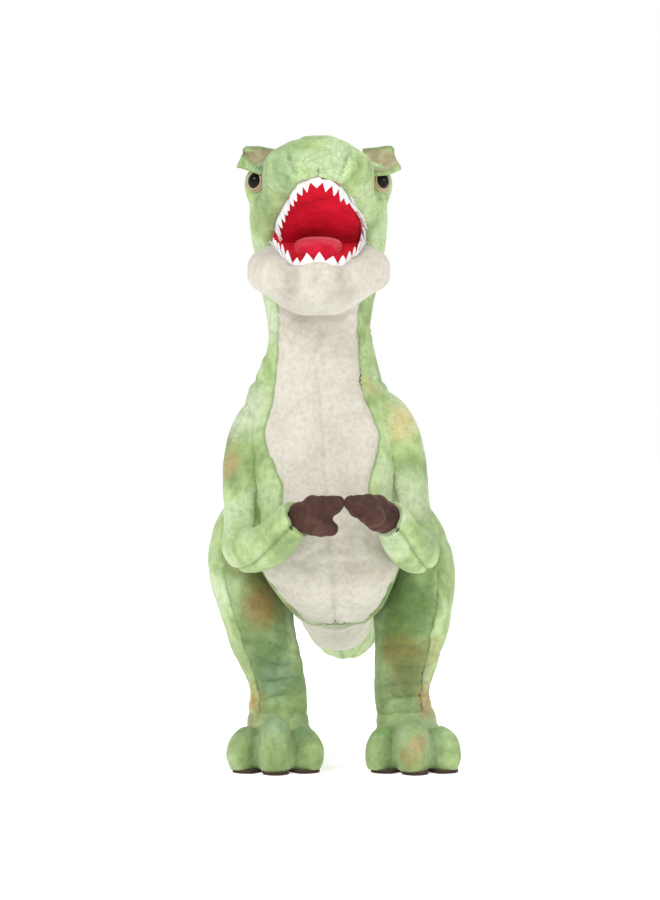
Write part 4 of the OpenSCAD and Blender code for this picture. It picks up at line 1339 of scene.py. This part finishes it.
right_lip, left_lip = lip_edges(jaw, jaw_normals, np.arange(int(np.searchsorted(jaw_v, 3.6)), front_row),
                                JAW_SIDE, 0.6)
across = np.arange(jaw_n - JAW_SIDE - 2, JAW_SIDE + 1, -2)
front_lip = jaw[front_row, across] - 0.6 * jaw_normals[front_row, across]
lip = np.concatenate([right_lip, front_lip, left_lip[::-1]])
to_middle = level_way(lip, leaned((0, -100, 490)))
drop = (0, -0.15, 1) - 0.15 * to_middle
felt_teeth("teeth_lower", lip[::-1], drop[::-1], to_middle[::-1], "lower_teeth", "jaw", count=17, length=11.5,
           valley=3.5, seed=22)
along = np.linspace(-1, 1, len(lip))
for side, s in SIDES.items():
    some = (s * along > 0.45) & (s * along < 0.97)
    splay = np.tile((0.5 * s, -0.7, 0.75), (some.sum(), 1))
    felt_teeth(f"teeth_fringe_lower_{side}", lip[some][::-1] + (0, -1.2, -0.5), splay, to_middle[some][::-1],
               "lower_teeth", "jaw", count=11, length=10.5, valley=1.5, seed=32 + s)

# Rows as in the tables above; the front line is the tongue's underside
TONGUE = np.array([
    [-84, 503, -84, 506, 12, 5, 0],
    [-94, 500, -94, 511.5, 20, 5, 0],
    [-107, 494, -108, 511.5, 22.5, 5, 0],
    [-121, 488, -123, 508, 21, 5, 0],
    [-133, 486, -136, 500.5, 16, 5, 0],
    [-139, 486.6, -140, 491, 7, 3, 0]], float)
tv = np.linspace(0, 5, 26)
ta = np.arange(0, 360, 7.5)
tongue = profile(TONGUE, tv[:, None] + 0 * ta[None], ta[None] + 0 * tv[:, None])
tongue[..., 2] += 0.8 * value_noise(tongue, 14, 23)
tongue_obj = closed_tube("tongue_pad", tongue, PINK)
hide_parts("tongue")
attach(tongue_obj, "jaw")
soft.append(tongue_obj)

# ---------------------------------------------------------------------------------------
# The fibre inside the covers is hidden; the washers stay as in the CAD, inside the head.
# The covers stand for the fibre in them; the washers stay as in the CAD, inside the head

for cover, filling in (("belly_left", "body_stuffing"), ("throat", "neck_stuffing"),
                       ("gusset", "head_stuffing"), ("chin", "jaw_stuffing"), ("tail_under", "tail_stuffing"),
                       ("tail_end_left", "tail_tip_stuffing"),
                       *((f"upper_arm_out_{side}", f"arm_stuffing_{side}") for side in SIDES),
                       *((f"thigh_out_{side}", f"leg_stuffing_{side}") for side in SIDES)):
    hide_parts(filling)

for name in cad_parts:
    if "washer" in name:
        paint_node(name, WASHER)

# ---------------------------------------------------------------------------------------
# Stage


def light(name, where, size, power):
    """A round lamp turned to the toy's middle."""
    data = bpy.data.lights.new(name, "AREA")
    data.shape = "DISK"
    data.size, data.energy = size, power
    obj = bpy.data.objects.new(name, data)
    bpy.context.scene.collection.objects.link(obj)
    obj.location = where
    obj.rotation_euler = (Vector((0, 0, 0.3)) - Vector(where)).to_track_quat("-Z", "Y").to_euler()


scene = bpy.context.scene
scene.view_settings.view_transform = "Standard"
world = bpy.data.worlds.new("world")
world.use_nodes = True
sky = world.node_tree.nodes["Background"]
# White round the horizon, dimmer overhead
heading = world.node_tree.nodes.new("ShaderNodeTexCoord").outputs["Generated"]
split = world.node_tree.nodes.new("ShaderNodeSeparateXYZ")
fade = world.node_tree.nodes.new("ShaderNodeMapRange")
fade.interpolation_type = "SMOOTHSTEP"
for key, value in (("From Min", 0.25), ("From Max", 0.6), ("To Min", 1.0), ("To Max", 0.5)):
    fade.inputs[key].default_value = value
world.node_tree.links.new(heading, split.inputs[0])
world.node_tree.links.new(split.outputs["Z"], fade.inputs["Value"])
world.node_tree.links.new(fade.outputs["Result"], sky.inputs["Strength"])
sky.inputs["Color"].default_value = (1, 1, 1, 1)
scene.world = world

light("key", (-1.3, -1.9, 1.9), 0.9, 34)
light("fill", (1.8, -1.5, 1.0), 1.4, 15)
light("top", (0.2, 0.4, 2.2), 1.4, 14)

bpy.ops.mesh.primitive_plane_add(size=80, location=(0, 0, -0.0002))
floor = bpy.context.object
floor.name = "floor"
m = Nodes("floor")
m.shader.inputs["Base Color"].default_value = (0.93, 0.93, 0.93, 1)
m.shader.inputs["Roughness"].default_value = 0.8
m.shader.inputs["Emission Color"].default_value = (1, 1, 1, 1)
m.shader.inputs["Emission Strength"].default_value = 0.5
floor.data.materials.append(m.material)

# Level, 2.27 m from the toy and about half its height up
camera = bpy.data.objects.new("camera", bpy.data.cameras.new("camera"))
scene.collection.objects.link(camera)
camera.data.lens, camera.data.sensor_width, camera.data.sensor_fit = 89.2, 36, "AUTO"
camera.location = (-0.0027, -2.2683, 0.311)
camera.rotation_euler = (math.pi / 2, 0, 0)
scene.camera = camera
